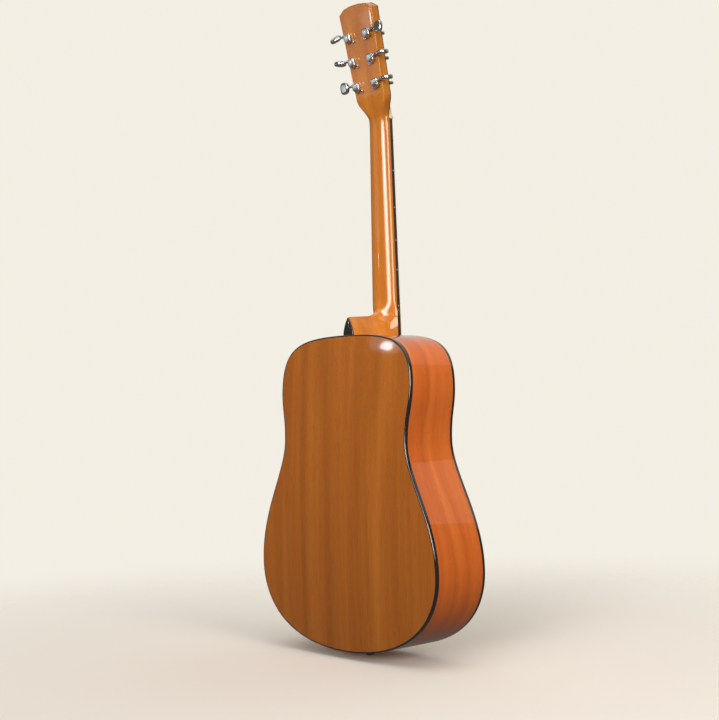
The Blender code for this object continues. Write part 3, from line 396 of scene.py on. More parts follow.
BACK_WOOD = lacquered_wood("back_wood", ((0.200, 0.052, 0.004), (0.295, 0.084, 0.008), (0.390, 0.128, 0.015)),
                           (0.060, 0.014, 0.002), band=30.0, stretch=0.020)
SIDE_WOOD = lacquered_wood("side_wood", ((0.340, 0.060, 0.006), (0.520, 0.112, 0.013), (0.680, 0.180, 0.028)),
                           (0.150, 0.025, 0.006), band=34.0, stretch=0.060, grain_map=True)
NECK_WOOD = lacquered_wood("neck_wood", ((0.330, 0.092, 0.007), (0.470, 0.150, 0.014), (0.600, 0.225, 0.026)),
                           (0.200, 0.055, 0.010), band=42.0, stretch=0.022)
HEAD_VENEER = lacquered_wood("head_veneer",
                             ((0.006, 0.004, 0.003), (0.020, 0.010, 0.006), (0.050, 0.022, 0.012)),
                             (0.003, 0.002, 0.002), band=80.0, stretch=0.030)
SPRUCE = spruce()
LINING_WOOD = bare_wood("lining_wood", (0.62, 0.44, 0.25), (0.42, 0.27, 0.13))
BLOCK_WOOD = bare_wood("block_wood", (0.48, 0.25, 0.11), (0.30, 0.13, 0.05), turn=(0, math.radians(90), 0))
BRACE_WOOD = bare_wood("brace_wood", (0.74, 0.55, 0.33), (0.56, 0.37, 0.18))
PLATE_WOOD = bare_wood("plate_wood", (0.60, 0.42, 0.24), (0.42, 0.26, 0.13), turn=(0, math.radians(90), 0))
BOARD_WOOD = oiled_rosewood("fretboard_wood")
BRIDGE_WOOD = oiled_rosewood("bridge_wood")
BINDING = moulded("black_binding", (0.006, 0.005, 0.005), (0.014, 0.011, 0.010), 0.12, 1.0)
ROSETTE = ringed()
PIN_PLASTIC = moulded("pin_plastic", (0.007, 0.007, 0.007), (0.016, 0.015, 0.014), 0.16)
TORTOISE = tortoise()
BONE = bone()
PEARL = pearl()
CHROME = plated("chrome", (0.52, 0.52, 0.53), (0.68, 0.68, 0.68))
FRET_METAL = plated("fret_metal", (0.58, 0.56, 0.50), (0.72, 0.70, 0.64), 0.16)
ROD_STEEL = plated("rod_steel", (0.22, 0.22, 0.23), (0.38, 0.38, 0.38), 0.34)
PLAIN_WIRE = wire("plain_string", (0.70, 0.70, 0.70), (0.50, 0.50, 0.50))
WOUND_WIRE = wire("wound_string", (0.72, 0.48, 0.25), (0.50, 0.30, 0.13), 0.00045)


# Making and seating pieces

def shell(name, mesh, finish, crease=35):
    """A mesh as an object, smooth except where it turns by more than the crease, in degrees."""
    if finish is not None:
        mesh.materials.clear()
        mesh.materials.append(finish)
    mesh.shade_smooth()
    mesh.set_sharp_from_angle(angle=math.radians(crease))
    made = bpy.data.objects.new(name, mesh)
    bpy.context.scene.collection.objects.link(made)
    return made


def seat(made, body="guitar", replaces=()):
    """Names the body that a finished piece rides on and the plain parts it stands for."""
    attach(made, body)
    if replaces:
        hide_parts(*replaces)
    return made


def settle(made):
    """The object with its modifiers made into plain mesh."""
    mesh = bpy.data.meshes.new_from_object(made.evaluated_get(bpy.context.evaluated_depsgraph_get()))
    made.modifiers.clear()
    made.data = mesh
    return made


def loft(name, rings, finish, row_closed=False, grain=None, place=None, crease=35):
    """Skins rings of points, capped at both ends. grain gives each ring a length and each point a width."""
    count = len(rings[0])
    bm = bmesh.new()
    layer = bm.loops.layers.uv.new("grain")
    rows = [[bm.verts.new(point) for point in ring] for ring in rings]
    spans = list(range(len(rows) - 1))
    if row_closed:
        spans.append(len(rows) - 1)
    for row in spans:
        here, after = rows[row], rows[(row + 1) % len(rows)]
        for i in range(count):
            j = (i + 1) % count
            face = bm.faces.new((here[i], here[j], after[j], after[i]))
            if grain:
                lengths, widths = grain
                for loop, r, p in zip(face.loops, (row, row, row + 1, row + 1), (i, j, j, i)):
                    loop[layer].uv = (lengths[r % len(lengths)], widths[p])
    if not row_closed:
        bm.faces.new(rows[0])
        bm.faces.new(rows[-1])
    bmesh.ops.remove_doubles(bm, verts=bm.verts, dist=1e-7)
    bmesh.ops.dissolve_degenerate(bm, edges=bm.edges, dist=1e-8)
    bmesh.ops.recalc_face_normals(bm, faces=bm.faces)
    if place is not None:
        bm.transform(place)
        bmesh.ops.recalc_face_normals(bm, faces=bm.faces)
    mesh = bpy.data.meshes.new(name)
    bm.to_mesh(mesh)
    bm.free()
    return shell(name, mesh, finish, crease)


TURNED_AXES = {"X": Matrix(((0, 0, 1), (1, 0, 0), (0, 1, 0))), "Y": Matrix(((1, 0, 0), (0, 0, 1), (0, 1, 0))),
               "Z": Matrix.Identity(3)}


TURNED_CREASE = 35


def turned(name, profile, axis, finish, count=32, place=None):
    """A turned piece: each (radius, height) of the profile is a circle about the axis."""
    facing = TURNED_AXES[axis]
    rings = []
    for radius, height in profile:
        angles = [2 * math.pi * i / count for i in range(count)]
        rings.append([facing @ Vector((radius * math.cos(a), radius * math.sin(a), height)) for a in angles])
    return loft(name, rings, finish, place=place, crease=TURNED_CREASE)


def box(name, low, high, place=None):
    low, high = Vector(low), Vector(high)
    corners = [(low.x, low.z), (high.x, low.z), (high.x, high.z), (low.x, high.z)]
    return loft(name, [[Vector((x, y, z)) for x, z in corners] for y in (low.y, high.y)], None, place=place)


def fillet(centre, radius, start, stop, steps):
    """Points of an arc about a centre, both ends included, angles in degrees."""
    angles = [math.radians(start + (stop - start) * i / steps) for i in range(steps + 1)]
    return [(centre[0] + radius * math.cos(a), centre[1] + radius * math.sin(a)) for a in angles]


def sheet(name, loops, low, high, finish, ease=0.0002, place=None):
    """A flat plate in (x, z) with holes, its faces at the depths low and high along Y and its edges eased."""
    curve = bpy.data.curves.new(name, "CURVE")
    curve.dimensions = "2D"
    curve.fill_mode = "BOTH"
    curve.extrude = (high - low) / 2 - ease
    curve.bevel_depth = ease
    curve.bevel_resolution = 2
    for loop in loops:
        spline = curve.splines.new("POLY")
        spline.points.add(len(loop) - 1)
        for point, (x, z) in zip(spline.points, loop):
            point.co = (x, z, 0, 1)
        spline.use_cyclic_u = True
    cut_out = bpy.data.objects.new(name, curve)
    bpy.context.scene.collection.objects.link(cut_out)
    bpy.context.view_layer.update()
    mesh = bpy.data.meshes.new_from_object(cut_out.evaluated_get(bpy.context.evaluated_depsgraph_get()))
    bpy.data.objects.remove(cut_out)
    stand = Matrix(((1, 0, 0, 0), (0, 0, -1, (low + high) / 2), (0, 1, 0, 0), (0, 0, 0, 1)))
    mesh.transform(place @ stand if place is not None else stand)
    bm = bmesh.new()
    bm.from_mesh(mesh)
    bmesh.ops.remove_doubles(bm, verts=bm.verts, dist=1e-6)
    bmesh.ops.recalc_face_normals(bm, faces=bm.faces)
    bm.to_mesh(mesh)
    bm.free()
    return shell(name, mesh, finish)


def shaped(made, *tools, operation="DIFFERENCE"):
    """Cuts or joins the tools, which are used up."""
    for tool in tools:
        modifier = made.modifiers.new("tool", "BOOLEAN")
        modifier.operation = operation
        modifier.object = tool
    settle(made)
    for tool in tools:
        bpy.data.objects.remove(tool)
    made.data.shade_smooth()
    made.data.set_sharp_from_angle(angle=math.radians(35))
    return made


def eased(made, width, segments=2, angle=30):
    """Rounds the edges that turn by more than the angle, in degrees."""
    modifier = made.modifiers.new("ease", "BEVEL")
    modifier.width = width
    modifier.segments = segments
    modifier.limit_method = "ANGLE"
    modifier.angle_limit = math.radians(angle)
    modifier.harden_normals = False
    settle(made)
    made.data.shade_smooth()
    made.data.set_sharp_from_angle(angle=math.radians(50))
    return made


def eased_part(node, finish, body="guitar", width=0.0004):
    """The plain part again with its facets merged and its edges eased."""
    mesh = frame["nodes"][node].data.copy()
    bm = bmesh.new()
    bm.from_mesh(mesh)
    bmesh.ops.remove_doubles(bm, verts=bm.verts, dist=1e-6)
    bmesh.ops.dissolve_limit(bm, angle_limit=math.radians(2), verts=bm.verts, edges=bm.edges)
    bm.to_mesh(mesh)
    bm.free()
    made = eased(shell(node + "_finished", mesh, finish), width)
    return seat(made, body, (node,))


# Body

def cubic(start, leave, arrive, end, steps):
    """Points and directions along one cubic arc, without its last point."""
    start, leave, arrive, end = (Vector(point) for point in (start, leave, arrive, end))
    for i in range(steps):
        t = i / steps
        s = 1 - t
        point = s**3 * start + 3 * s * s * t * leave + 3 * s * t * t * arrive + t**3 * end
        way = s * s * (leave - start) + 2 * s * t * (arrive - leave) + t * t * (end - arrive)
        yield point, way.normalized()


def half_outline():
    """(point, outward normal) in (x, z) from the tail to the neck, treble side."""
    arcs = (
        ((0, 0), (0.133, 0), (LOWER_BOUT, LOWER_BOUT_Z - 0.080), (LOWER_BOUT, LOWER_BOUT_Z)),
        ((LOWER_BOUT, LOWER_BOUT_Z), (LOWER_BOUT, LOWER_BOUT_Z + 0.084),
         (WAIST, WAIST_Z - 0.052), (WAIST, WAIST_Z)),
        ((WAIST, WAIST_Z), (WAIST, WAIST_Z + 0.043),
         (UPPER_BOUT, UPPER_BOUT_Z - 0.0345), (UPPER_BOUT, UPPER_BOUT_Z)),
        ((UPPER_BOUT, UPPER_BOUT_Z), (UPPER_BOUT, UPPER_BOUT_Z + 0.072),
         (0.112, BODY_LENGTH), (0, BODY_LENGTH)),
    )
    found = [(point, Vector((way.y, -way.x))) for arc in arcs for point, way in cubic(*arc, ARC_STEPS)]
    found.append((Vector((0, BODY_LENGTH)), Vector((0, 1))))
    return found


HALF = half_outline()
LOOP = HALF + [(Vector((-p.x, p.y)), Vector((-n.x, n.y))) for p, n in reversed(HALF[1:-1])]


def inset_loop(inset):
    return [tuple(point - normal * inset) for point, normal in LOOP]


def trimmed_half(tail_x, neck_x, sign):
    """The half outline between tail_x beside the end pin and neck_x beside the neck, mirrored by sign."""
    middle = len(HALF) // 2

    def crossing(near, far, x):
        share = (x - near[0].x) / (far[0].x - near[0].x)
        return near[0].lerp(far[0], share), near[1].lerp(far[1], share).normalized()

    low = max(i for i in range(middle) if HALF[i][0].x < tail_x or i == 0)
    high = min(i for i in range(middle, len(HALF)) if HALF[i][0].x < neck_x)
    kept = [crossing(HALF[low], HALF[low + 1], tail_x), *HALF[low + 1:high],
            crossing(HALF[high], HALF[high - 1], neck_x)]
    return [(Vector((p.x * sign, p.y)), Vector((n.x * sign, n.y))) for p, n in kept]


def back_v(x, z):
    """Depth of the back's outer face, arched both ways."""
    taper = TAIL_DEPTH + (NECK_END_DEPTH - TAIL_DEPTH) * z / BODY_LENGTH
    return taper + (z * (BODY_LENGTH - z) - x * x) / (2 * BACK_RADIUS)


def rim_ring(point, normal, corners):
    """One section across the rim. Corners are (inset, depth, counted from the back or not)."""
    ring = []
    for inset, depth, from_back in corners:
        spot = point - normal * inset
        ring.append(at(spot.x, back_v(spot.x, spot.y) - depth if from_back else depth, spot.y))
    return ring


def running_lengths(path):
    lengths = [0.0]
    for (first, _), (second, _) in zip(path, path[1:]):
        lengths.append(lengths[-1] + (second - first).length)
    return lengths


def string_x(index, spread):
    return -spread / 2 + spread * index / (len(STRING_RADII) - 1)


def circle_loop(x, z, radius, count=32):
    angles = [2 * math.pi * i / count for i in range(count)]
    return [(x + radius * math.cos(a), z + radius * math.sin(a)) for a in angles]


def pin_hole_loops():
    return [circle_loop(string_x(i, BRIDGE_SPREAD), PIN_Z, PIN_RADIUS + PIN_CLEARANCE, 20) for i in range(6)]


def make_soundboard():
    loops = [inset_loop(BINDING_WIDTH), circle_loop(HOLE.x, HOLE.z, HOLE_RADIUS, 96), *pin_hole_loops()]
    board = sheet("soundboard_finished", loops, TOP_Y, TOP_Y + TOP_THICKNESS, SPRUCE)
    groove = [circle_loop(HOLE.x, HOLE.z, radius, 128) for radius in (ROSETTE_OUTER, ROSETTE_INNER)]
    cutter = sheet("groove", groove, TOP_Y - 0.01, TOP_Y + ROSETTE_DEPTH, None, 0.00001)
    seat(shaped(board, cutter), replaces=("soundboard",))


def make_back():
    """Rows across the plate, from tail to neck, carry the arch; the inner face is one thickness in."""
    columns = 28
    bm = bmesh.new()
    edges = []
    for thickness in (0.0, BACK_THICKNESS):
        rows = []
        for point, normal in HALF:
            end = point - normal * BINDING_WIDTH
            across = [end.x * (2 * i / columns - 1) for i in range(columns + 1)]
            rows.append([bm.verts.new(at(x, back_v(x, end.y) - thickness, end.y)) for x in across])
        for here, after in zip(rows, rows[1:]):
            for i in range(columns):
                bm.faces.new((here[i], here[i + 1], after[i + 1], after[i]))
        edges.append([*rows[0], *(row[-1] for row in rows[1:-1]), *reversed(rows[-1]),
                      *(row[0] for row in reversed(rows[1:-1]))])
    outer, inner = edges
    for i in range(len(outer)):
        j = (i + 1) % len(outer)
        bm.faces.new((outer[i], outer[j], inner[j], inner[i]))
    bmesh.ops.remove_doubles(bm, verts=bm.verts, dist=1e-6)
    bmesh.ops.recalc_face_normals(bm, faces=bm.faces)
    mesh = bpy.data.meshes.new("back_finished")
    bm.to_mesh(mesh)
    bm.free()
    seat(shell("back_finished", mesh, BACK_WOOD), replaces=("back_plate",))


def make_bindings():
    corner = [(BINDING_ROUND - r, BINDING_ROUND - q) for r, q in fillet((0, 0), BINDING_ROUND, 90, 0, 6)]
    outline = [(BINDING_WIDTH, 0), *corner, (0, BINDING_HEIGHT), (BINDING_WIDTH, BINDING_HEIGHT)]
    for plate, from_back in (("top", False), ("back", True)):
        rings = [rim_ring(p, n, [(inset, depth, from_back) for inset, depth in outline]) for p, n in LOOP]
        made = loft(f"{plate}_binding_finished", rings, BINDING, row_closed=True)
        seat(made, replaces=(plate + "_binding",))


def make_sides():
    """The two bent sides. The grain runs along the rim, so each carries a grain map of lengths round it."""
    steps = 6
    for name, sign in (("side_bass", -1), ("side_treble", 1)):
        path = trimmed_half(0.00001, TENON_HALF + 0.0003, sign)
        rings = []
        for point, normal in path:
            inside = point - normal * SIDE_THICKNESS
            ring = []
            for spot, shares in ((point, range(steps + 1)), (inside, range(steps, -1, -1))):
                tall = back_v(spot.x, spot.y) - 2 * BINDING_HEIGHT
                ring += [at(spot.x, BINDING_HEIGHT + tall * i / steps, spot.y) for i in shares]
            rings.append(ring)
        widths = [0.1 * i / steps for i in [*range(steps + 1), *range(steps, -1, -1)]]
        lengths = [sign * 3 + length for length in running_lengths(path)]
        made = loft(name + "_finished", rings, SIDE_WOOD, grain=(lengths, widths))
        seat(shaped(made, end_pin_drill()), replaces=(name,))


def end_pin_drill():
    return turned("end_pin_drill", [(0.0048, -0.01), (0.0048, 0.03)], "Z", None, 24)


# Geometry Nodes

class Jig:
    """A Geometry Nodes tree under construction: each call adds a node and returns it."""

    def __init__(self, name, **sizes):
        self.tree = bpy.data.node_groups.new(name, "GeometryNodeTree")
        self.tree.interface.new_socket("Geometry", in_out="INPUT", socket_type="NodeSocketGeometry")
        for label, value in sizes.items():
            kinds = {float: "NodeSocketFloat", int: "NodeSocketInt", str: "NodeSocket" + str(value)}
            kind = kinds[type(value)]
            socket = self.tree.interface.new_socket(label, in_out="INPUT", socket_type=kind)
            if not isinstance(value, str):
                socket.default_value = value
        self.tree.interface.new_socket("Geometry", in_out="OUTPUT", socket_type="NodeSocketGeometry")
        self.entry = self.tree.nodes.new("NodeGroupInput")
        self.exit = self.tree.nodes.new("NodeGroupOutput")

    def add(self, kind, inputs=None, **settings):
        made = self.tree.nodes.new(kind)
        for name, value in settings.items():
            setattr(made, name, value)
        for name, value in (inputs or {}).items():
            if isinstance(value, bpy.types.Node):
                value = value.outputs[0]
            if isinstance(value, bpy.types.NodeSocket):
                self.tree.links.new(value, made.inputs[name])
            else:
                made.inputs[name].default_value = value
        return made

    def size(self, label):
        return self.entry.outputs[label]

    def math(self, operation, first, second=0.0):
        return self.add("ShaderNodeMath", {0: first, 1: second}, operation=operation)

    def vector(self, x=0.0, y=0.0, z=0.0):
        return self.add("ShaderNodeCombineXYZ", {0: x, 1: y, 2: z})

    def close(self, geometry):
        """Ends the tree in real geometry with its finish."""
        real = self.add("GeometryNodeRealizeInstances", {0: geometry})
        finished = self.add("GeometryNodeSetMaterial", {"Geometry": real, "Material": self.size("Finish")})
        self.tree.links.new(finished.outputs[0], self.exit.inputs[0])
        return self.tree


def run(jig, name, base=None, crease=35, **sizes):
    """Runs a tree on a base mesh, or on nothing, and returns the result as one plain mesh object."""
    made = bpy.data.objects.new(name, base or bpy.data.meshes.new(name))
    bpy.context.scene.collection.objects.link(made)
    modifier = made.modifiers.new("jig", "NODES")
    modifier.node_group = jig
    for socket in jig.interface.items_tree:
        if socket.in_out == "INPUT" and socket.name in sizes:
            modifier[socket.identifier] = sizes[socket.name]
    made.update_tag()
    settle(made)
    mesh = made.data
    mesh.name = name
    bpy.data.objects.remove(made)
    return shell(name, mesh, None, crease)


# Neck

def neck_half_width(z):
    """Half the neck's width at a height above the body."""
    share = min(1, max(0, (NECK_LENGTH - z) / NECK_LENGTH))
    return NUT_HALF + (JOIN_HALF - NUT_HALF) * share


def neck_depth(z):
    return NECK_DEPTH_NUT + (NECK_DEPTH_HEEL - NECK_DEPTH_NUT) * (NECK_LENGTH - z) / NECK_LENGTH


def heel_reach(v):
    """How far up the neck the heel's ridge stands at depth v."""
    start = HEEL_LENGTH + 0.002
    if v <= NECK_DEPTH_HEEL:
        return HEEL_CURVE_LENGTH * NECK_DEPTH_HEEL / max(v, 1e-4)
    if v >= HEEL_CURVE_DEPTH:
        return HEEL_LENGTH + 0.002 * (HEEL_DEPTH - v) / (HEEL_DEPTH - HEEL_CURVE_DEPTH)
    share = (HEEL_CURVE_DEPTH - v) / (HEEL_CURVE_DEPTH - NECK_DEPTH_HEEL)
    return start + (HEEL_CURVE_LENGTH - start) * (1 - math.sqrt(1 - share**2))


def ridge_depth(z):
    """The neck's depth at a height above the body: the heel's ridge, its curve, then the shaft."""
    start = HEEL_LENGTH + 0.002
    if z <= HEEL_LENGTH:
        return HEEL_DEPTH
    if z <= start:
        return HEEL_DEPTH - (HEEL_DEPTH - HEEL_CURVE_DEPTH) * (z - HEEL_LENGTH) / (start - HEEL_LENGTH)
    if z <= HEEL_CURVE_LENGTH:
        rise = (z - start) / (HEEL_CURVE_LENGTH - start)
        return HEEL_CURVE_DEPTH - math.sqrt(1 - (1 - rise) ** 2) * (HEEL_CURVE_DEPTH - NECK_DEPTH_HEEL)
    return neck_depth(z)


def heel_half_width(v, z):
    base = HEEL_CAP_HALF + (JOIN_HALF - HEEL_CAP_HALF) * (1 - v / HEEL_DEPTH) ** 1.5
    base += HEEL_FLARE * math.sin(math.pi * min(1.0, v / HEEL_DEPTH)) * math.exp(-z / HEEL_FLARE_REACH)
    return base * max(0.0, 1 - (max(0.0, z) / heel_reach(v)) ** 1.6)


SECTION_STEPS = 24


def neck_ring(z):
    """One section across the shaft or heel, from the treble front corner round the back."""
    deep = ridge_depth(z)
    heel = 1 - smoothstep(HEEL_LENGTH, HEEL_CURVE_LENGTH, z)
    half = []
    for i in range(SECTION_STEPS + 1):
        share = math.sin(math.pi / 2 * i / SECTION_STEPS)
        shaft = neck_half_width(z) * math.sqrt(max(0.0, 1 - share**2.1))
        width = (1 - heel) * shaft + heel * heel_half_width(deep * share, z) if heel else shaft
        half.append((width if z <= 0 or i < SECTION_STEPS else 0.0, deep * share))
    ring = [at(x, v, BODY_LENGTH + z) for x, v in half]
    return ring + [at(-x, v, BODY_LENGTH + z) for x, v in reversed(half)]


def head_half_width(s):
    """Half the head's width at a distance s from the nut: a quick flare, then nearly straight sides."""
    if s <= HEAD_FLARE:
        return NUT_HALF + (HEAD_BASE_HALF - NUT_HALF) * smoothstep(0.004, HEAD_FLARE, s)
    share = (s - HEAD_FLARE) / (HEAD_CORNER - HEAD_FLARE)
    if share <= 1:
        return HEAD_BASE_HALF + (HEAD_TOP_HALF - HEAD_BASE_HALF) * share
    stations = ((HEAD_TOP_HALF, HEAD_CORNER), *HEAD_CROWN)
    for (wide, low), (narrow, high) in zip(stations, stations[1:]):
        if s <= high + 1e-9:
            return wide + (narrow - wide) * (s - low) / (high - low)
    return HEAD_CROWN[-1][0]


def head_point(x, n, s):
    """World place of a point of the head: n behind its front face, s above the nut."""
    return HEAD_PLACE @ Vector((x, n, s))


def head_ring(s, inset=0.0):
    """One section across the head: straight sides, round shoulders and a flat back ending in a tongue."""
    half_width = head_half_width(s) - inset
    edge = 0.0013
    wall = (HEAD_THICKNESS - edge) * smoothstep(0.000, 0.044, s) ** 0.8
    flat = (half_width - edge) * smoothstep(0.002, 0.034, s) ** 0.6
    depth = HEAD_THICKNESS
    half = []
    for i in range(SECTION_STEPS + 1):
        share = i / SECTION_STEPS
        if share <= 0.25:
            half.append((half_width, wall * share / 0.25))
        elif share <= 0.75:
            turn = math.pi / 2 * (share - 0.25) / 0.5
            half.append((flat + (half_width - flat) * math.cos(turn), wall + (depth - wall) * math.sin(turn)))
        else:
            half.append((flat * (1 - share) / 0.25, depth))
    ring = [head_point(x, n, s) for x, n in half]
    return ring + [head_point(-x, n, s) for x, n in reversed(half)]


def make_neck():
    """Tenon, heel, shaft and head in one length of wood."""
    rings = []
    for z in (BODY_LENGTH - TENON_LENGTH, BODY_LENGTH - 0.0003):
        half = []
        for i in range(SECTION_STEPS + 1):
            turn = math.pi / 2 * i / SECTION_STEPS
            x = TENON_HALF * math.cos(turn) ** TENON_POWER if i < SECTION_STEPS else 0.0
            half.append((x, TENON_FRONT + (TENON_BACK - TENON_FRONT) * math.sin(turn) ** TENON_POWER))
        rings.append([at(x, v, z) for x, v in half] + [at(-x, v, z) for x, v in reversed(half)])
    heights = [-0.0002] + [HEEL_LENGTH * i / 12 for i in range(1, 12)]
    heights += [HEEL_LENGTH + lift for lift in (-0.0005, 0, 0.0007, 0.0014, 0.002)]
    reach = HEEL_CURVE_LENGTH - HEEL_LENGTH - 0.002
    heights += [HEEL_LENGTH + 0.002 + reach * (1 - math.cos(math.pi / 2 * i / 16)) for i in range(1, 17)]
    heights += [HEEL_CURVE_LENGTH + 0.004 * i for i in range(1, 6)] + [0.09 + 0.0245 * i for i in range(11)]
    heights += [NECK_LENGTH - 0.010]
    rings += [neck_ring(z) for z in heights]
    rings += [head_ring(0.003 + 0.0015 * i) for i in range(28)]
    crown = (HEAD_CORNER - 0.0004, HEAD_CORNER, HEAD_CROWN[0][1], HEAD_LENGTH - 0.0003)
    rings += [head_ring(s) for s in (0.060, 0.100, 0.140, *crown)]
    rings.append(head_ring(HEAD_LENGTH, 0.0004))
    made = loft("neck_finished", rings, NECK_WOOD, crease=28)
    channel_half, channel_depth = 0.0029, 0.0119
    channel = box("rod_channel", at(-channel_half, -0.01, BODY_LENGTH - 0.03),
                  at(channel_half, channel_depth, NUT_Z - 0.004))
    shaped(made, channel, *post_drills())
    seat(made, replaces=("neck",))


def post_of(index):
    """(side, step) of a string's tuner: bass strings on the bass side, outer ones nearest the nut."""
    return (-1, POST_STEPS[index]) if index < 3 else (1, POST_STEPS[5 - index])


def post_place(index):
    """Where a post crosses the head's face: Y runs along the post and Z up the head."""
    side, step = post_of(index)
    return HEAD_PLACE @ Matrix.Translation((side * POST_X, 0, step))


def post_drills():
    profile = [(POST_BORE, -0.02), (POST_BORE, 0.04)]
    return [turned("post_drill", profile, "Y", None, 24, post_place(index)) for index in range(6)]


def make_head_veneer():
    outline = [(head_half_width(s), s) for s in [0.0055 + 0.0015 * i for i in range(24)]]
    outline += [(HEAD_BASE_HALF, HEAD_FLARE), (HEAD_TOP_HALF, HEAD_CORNER), *HEAD_CROWN]
    loop = outline + [(-x, s) for x, s in reversed(outline)]
    holes = [circle_loop(side * POST_X, s, POST_BORE, 24) for side in (-1, 1) for s in POST_STEPS]
    made = sheet("head_veneer_finished", [loop, *holes], -VENEER, 0.0, HEAD_VENEER, 0.0003, HEAD_PLACE)
    seat(made, replaces=("head_veneer",))


def make_fretboard():
    rings = []
    rows = [BOARD_END_Z + (NUT_Z - BOARD_END_Z) * i / 12 for i in range(13)]
    for z in rows:
        half = NUT_HALF + (JOIN_HALF - NUT_HALF) * (NUT_Z - z) / NECK_LENGTH
        front = [(-half + 2 * half * i / 24) for i in range(25)]
        ring = [at(half, 0, z), at(-half, 0, z)]
        ring += [at(x, -BOARD_THICKNESS + x * x / (2 * BOARD_RADIUS), z) for x in front]
        rings.append(ring)
    made = loft("fretboard_finished", rings, BOARD_WOOD)
    seat(eased(made, 0.0003, 2, 60), replaces=("fretboard",))


def make_heel_cap():
    steps = 24
    tip = HEEL_LENGTH - 0.0018
    right = []
    for i in range(steps):
        share = math.sin(math.pi / 2 * i / steps)
        z = tip * share
        right.append((HEEL_CAP_HALF * (1 - (z / HEEL_LENGTH) ** 1.6) * math.sqrt(1 - share ** 10), z))
    loop = right + [(0, tip)] + [(-x, z) for x, z in reversed(right)]
    low = TOP_Y + HEEL_DEPTH
    made = sheet("heel_cap_finished", [loop], low, low + HEEL_CAP_THICKNESS, BINDING, 0.0005,
                 Matrix.Translation((0, 0, BODY_LENGTH)))
    seat(made, replaces=("heel_cap",))


def make_linings():
    """Kerfed linings: wedges along the glue line, sawn nearly through so that the strip bends."""
    jig = kerf_jig()
    for side, sign in (("bass", -1), ("treble", 1)):
        path = trimmed_half(0.0405, 0.0365, sign)
        for plate, way in (("top", 1), ("back", -1)):
            line = []
            for point, normal in path:
                spot = point - normal * (SIDE_THICKNESS + GLUE_GAP)
                deep = TOP_THICKNESS if way > 0 else back_v(spot.x, spot.y) - BACK_THICKNESS
                line.append(at(spot.x, deep + way * GLUE_GAP, spot.y))
            name = f"{plate}_lining_{side}"
            made = run(jig, name + "_finished", polyline(line), Finish=LINING_WOOD, Pitch=0.0062,
                       Length=0.0054, Width=LINING_WIDTH, Height=LINING_FOOT,
                       Inward=float(-sign * way), Depth=float(way))
            seat(made, replaces=(name,))


def kerf_jig():
    jig = Jig("kerfed_lining", Finish="Material", Pitch=0.0, Length=0.0, Width=0.0, Height=0.0,
              Inward=0.0, Depth=0.0)
    curve = jig.add("GeometryNodeMeshToCurve", {"Mesh": jig.entry.outputs[0]})
    evened = jig.add("GeometryNodeResampleCurve", {"Curve": curve, "Length": jig.size("Pitch")},
                     mode="LENGTH")
    block = jig.add("GeometryNodeMeshCube", {
        "Size": jig.vector(jig.size("Length"), jig.size("Width"), jig.size("Height"))})
    shift = jig.vector(0.0, jig.math("MULTIPLY", jig.size("Width"), 0.5),
                       jig.math("MULTIPLY", jig.size("Height"), 0.5))
    stood = jig.add("GeometryNodeTransform", {"Geometry": block, "Translation": shift})
    parts = jig.add("ShaderNodeSeparateXYZ", {0: jig.add("GeometryNodeInputPosition")}).outputs
    across = jig.math("DIVIDE", parts["Y"], jig.size("Width"))
    shorter = jig.math("SUBTRACT", 1.0, jig.math("MULTIPLY", across, 0.7))
    wedge = jig.vector(parts["X"], jig.math("MULTIPLY", parts["Y"], jig.size("Inward")),
                       jig.math("MULTIPLY", parts["Z"], shorter))
    cut_block = jig.add("GeometryNodeSetPosition", {"Geometry": stood, "Position": wedge})
    along = jig.add("FunctionNodeAlignRotationToVector", {
        "Vector": jig.add("GeometryNodeInputTangent")}, axis="X")
    turn = jig.add("FunctionNodeAlignRotationToVector", {
        "Rotation": along, "Vector": jig.vector(0.0, jig.size("Depth"), 0.0)}, axis="Z", pivot_axis="X")
    return jig.close(jig.add("GeometryNodeInstanceOnPoints", {
        "Points": evened, "Instance": cut_block, "Rotation": turn}))


def polyline(points):
    mesh = bpy.data.meshes.new("line")
    mesh.from_pydata(points, [(i, i + 1) for i in range(len(points) - 1)], [])
    return mesh


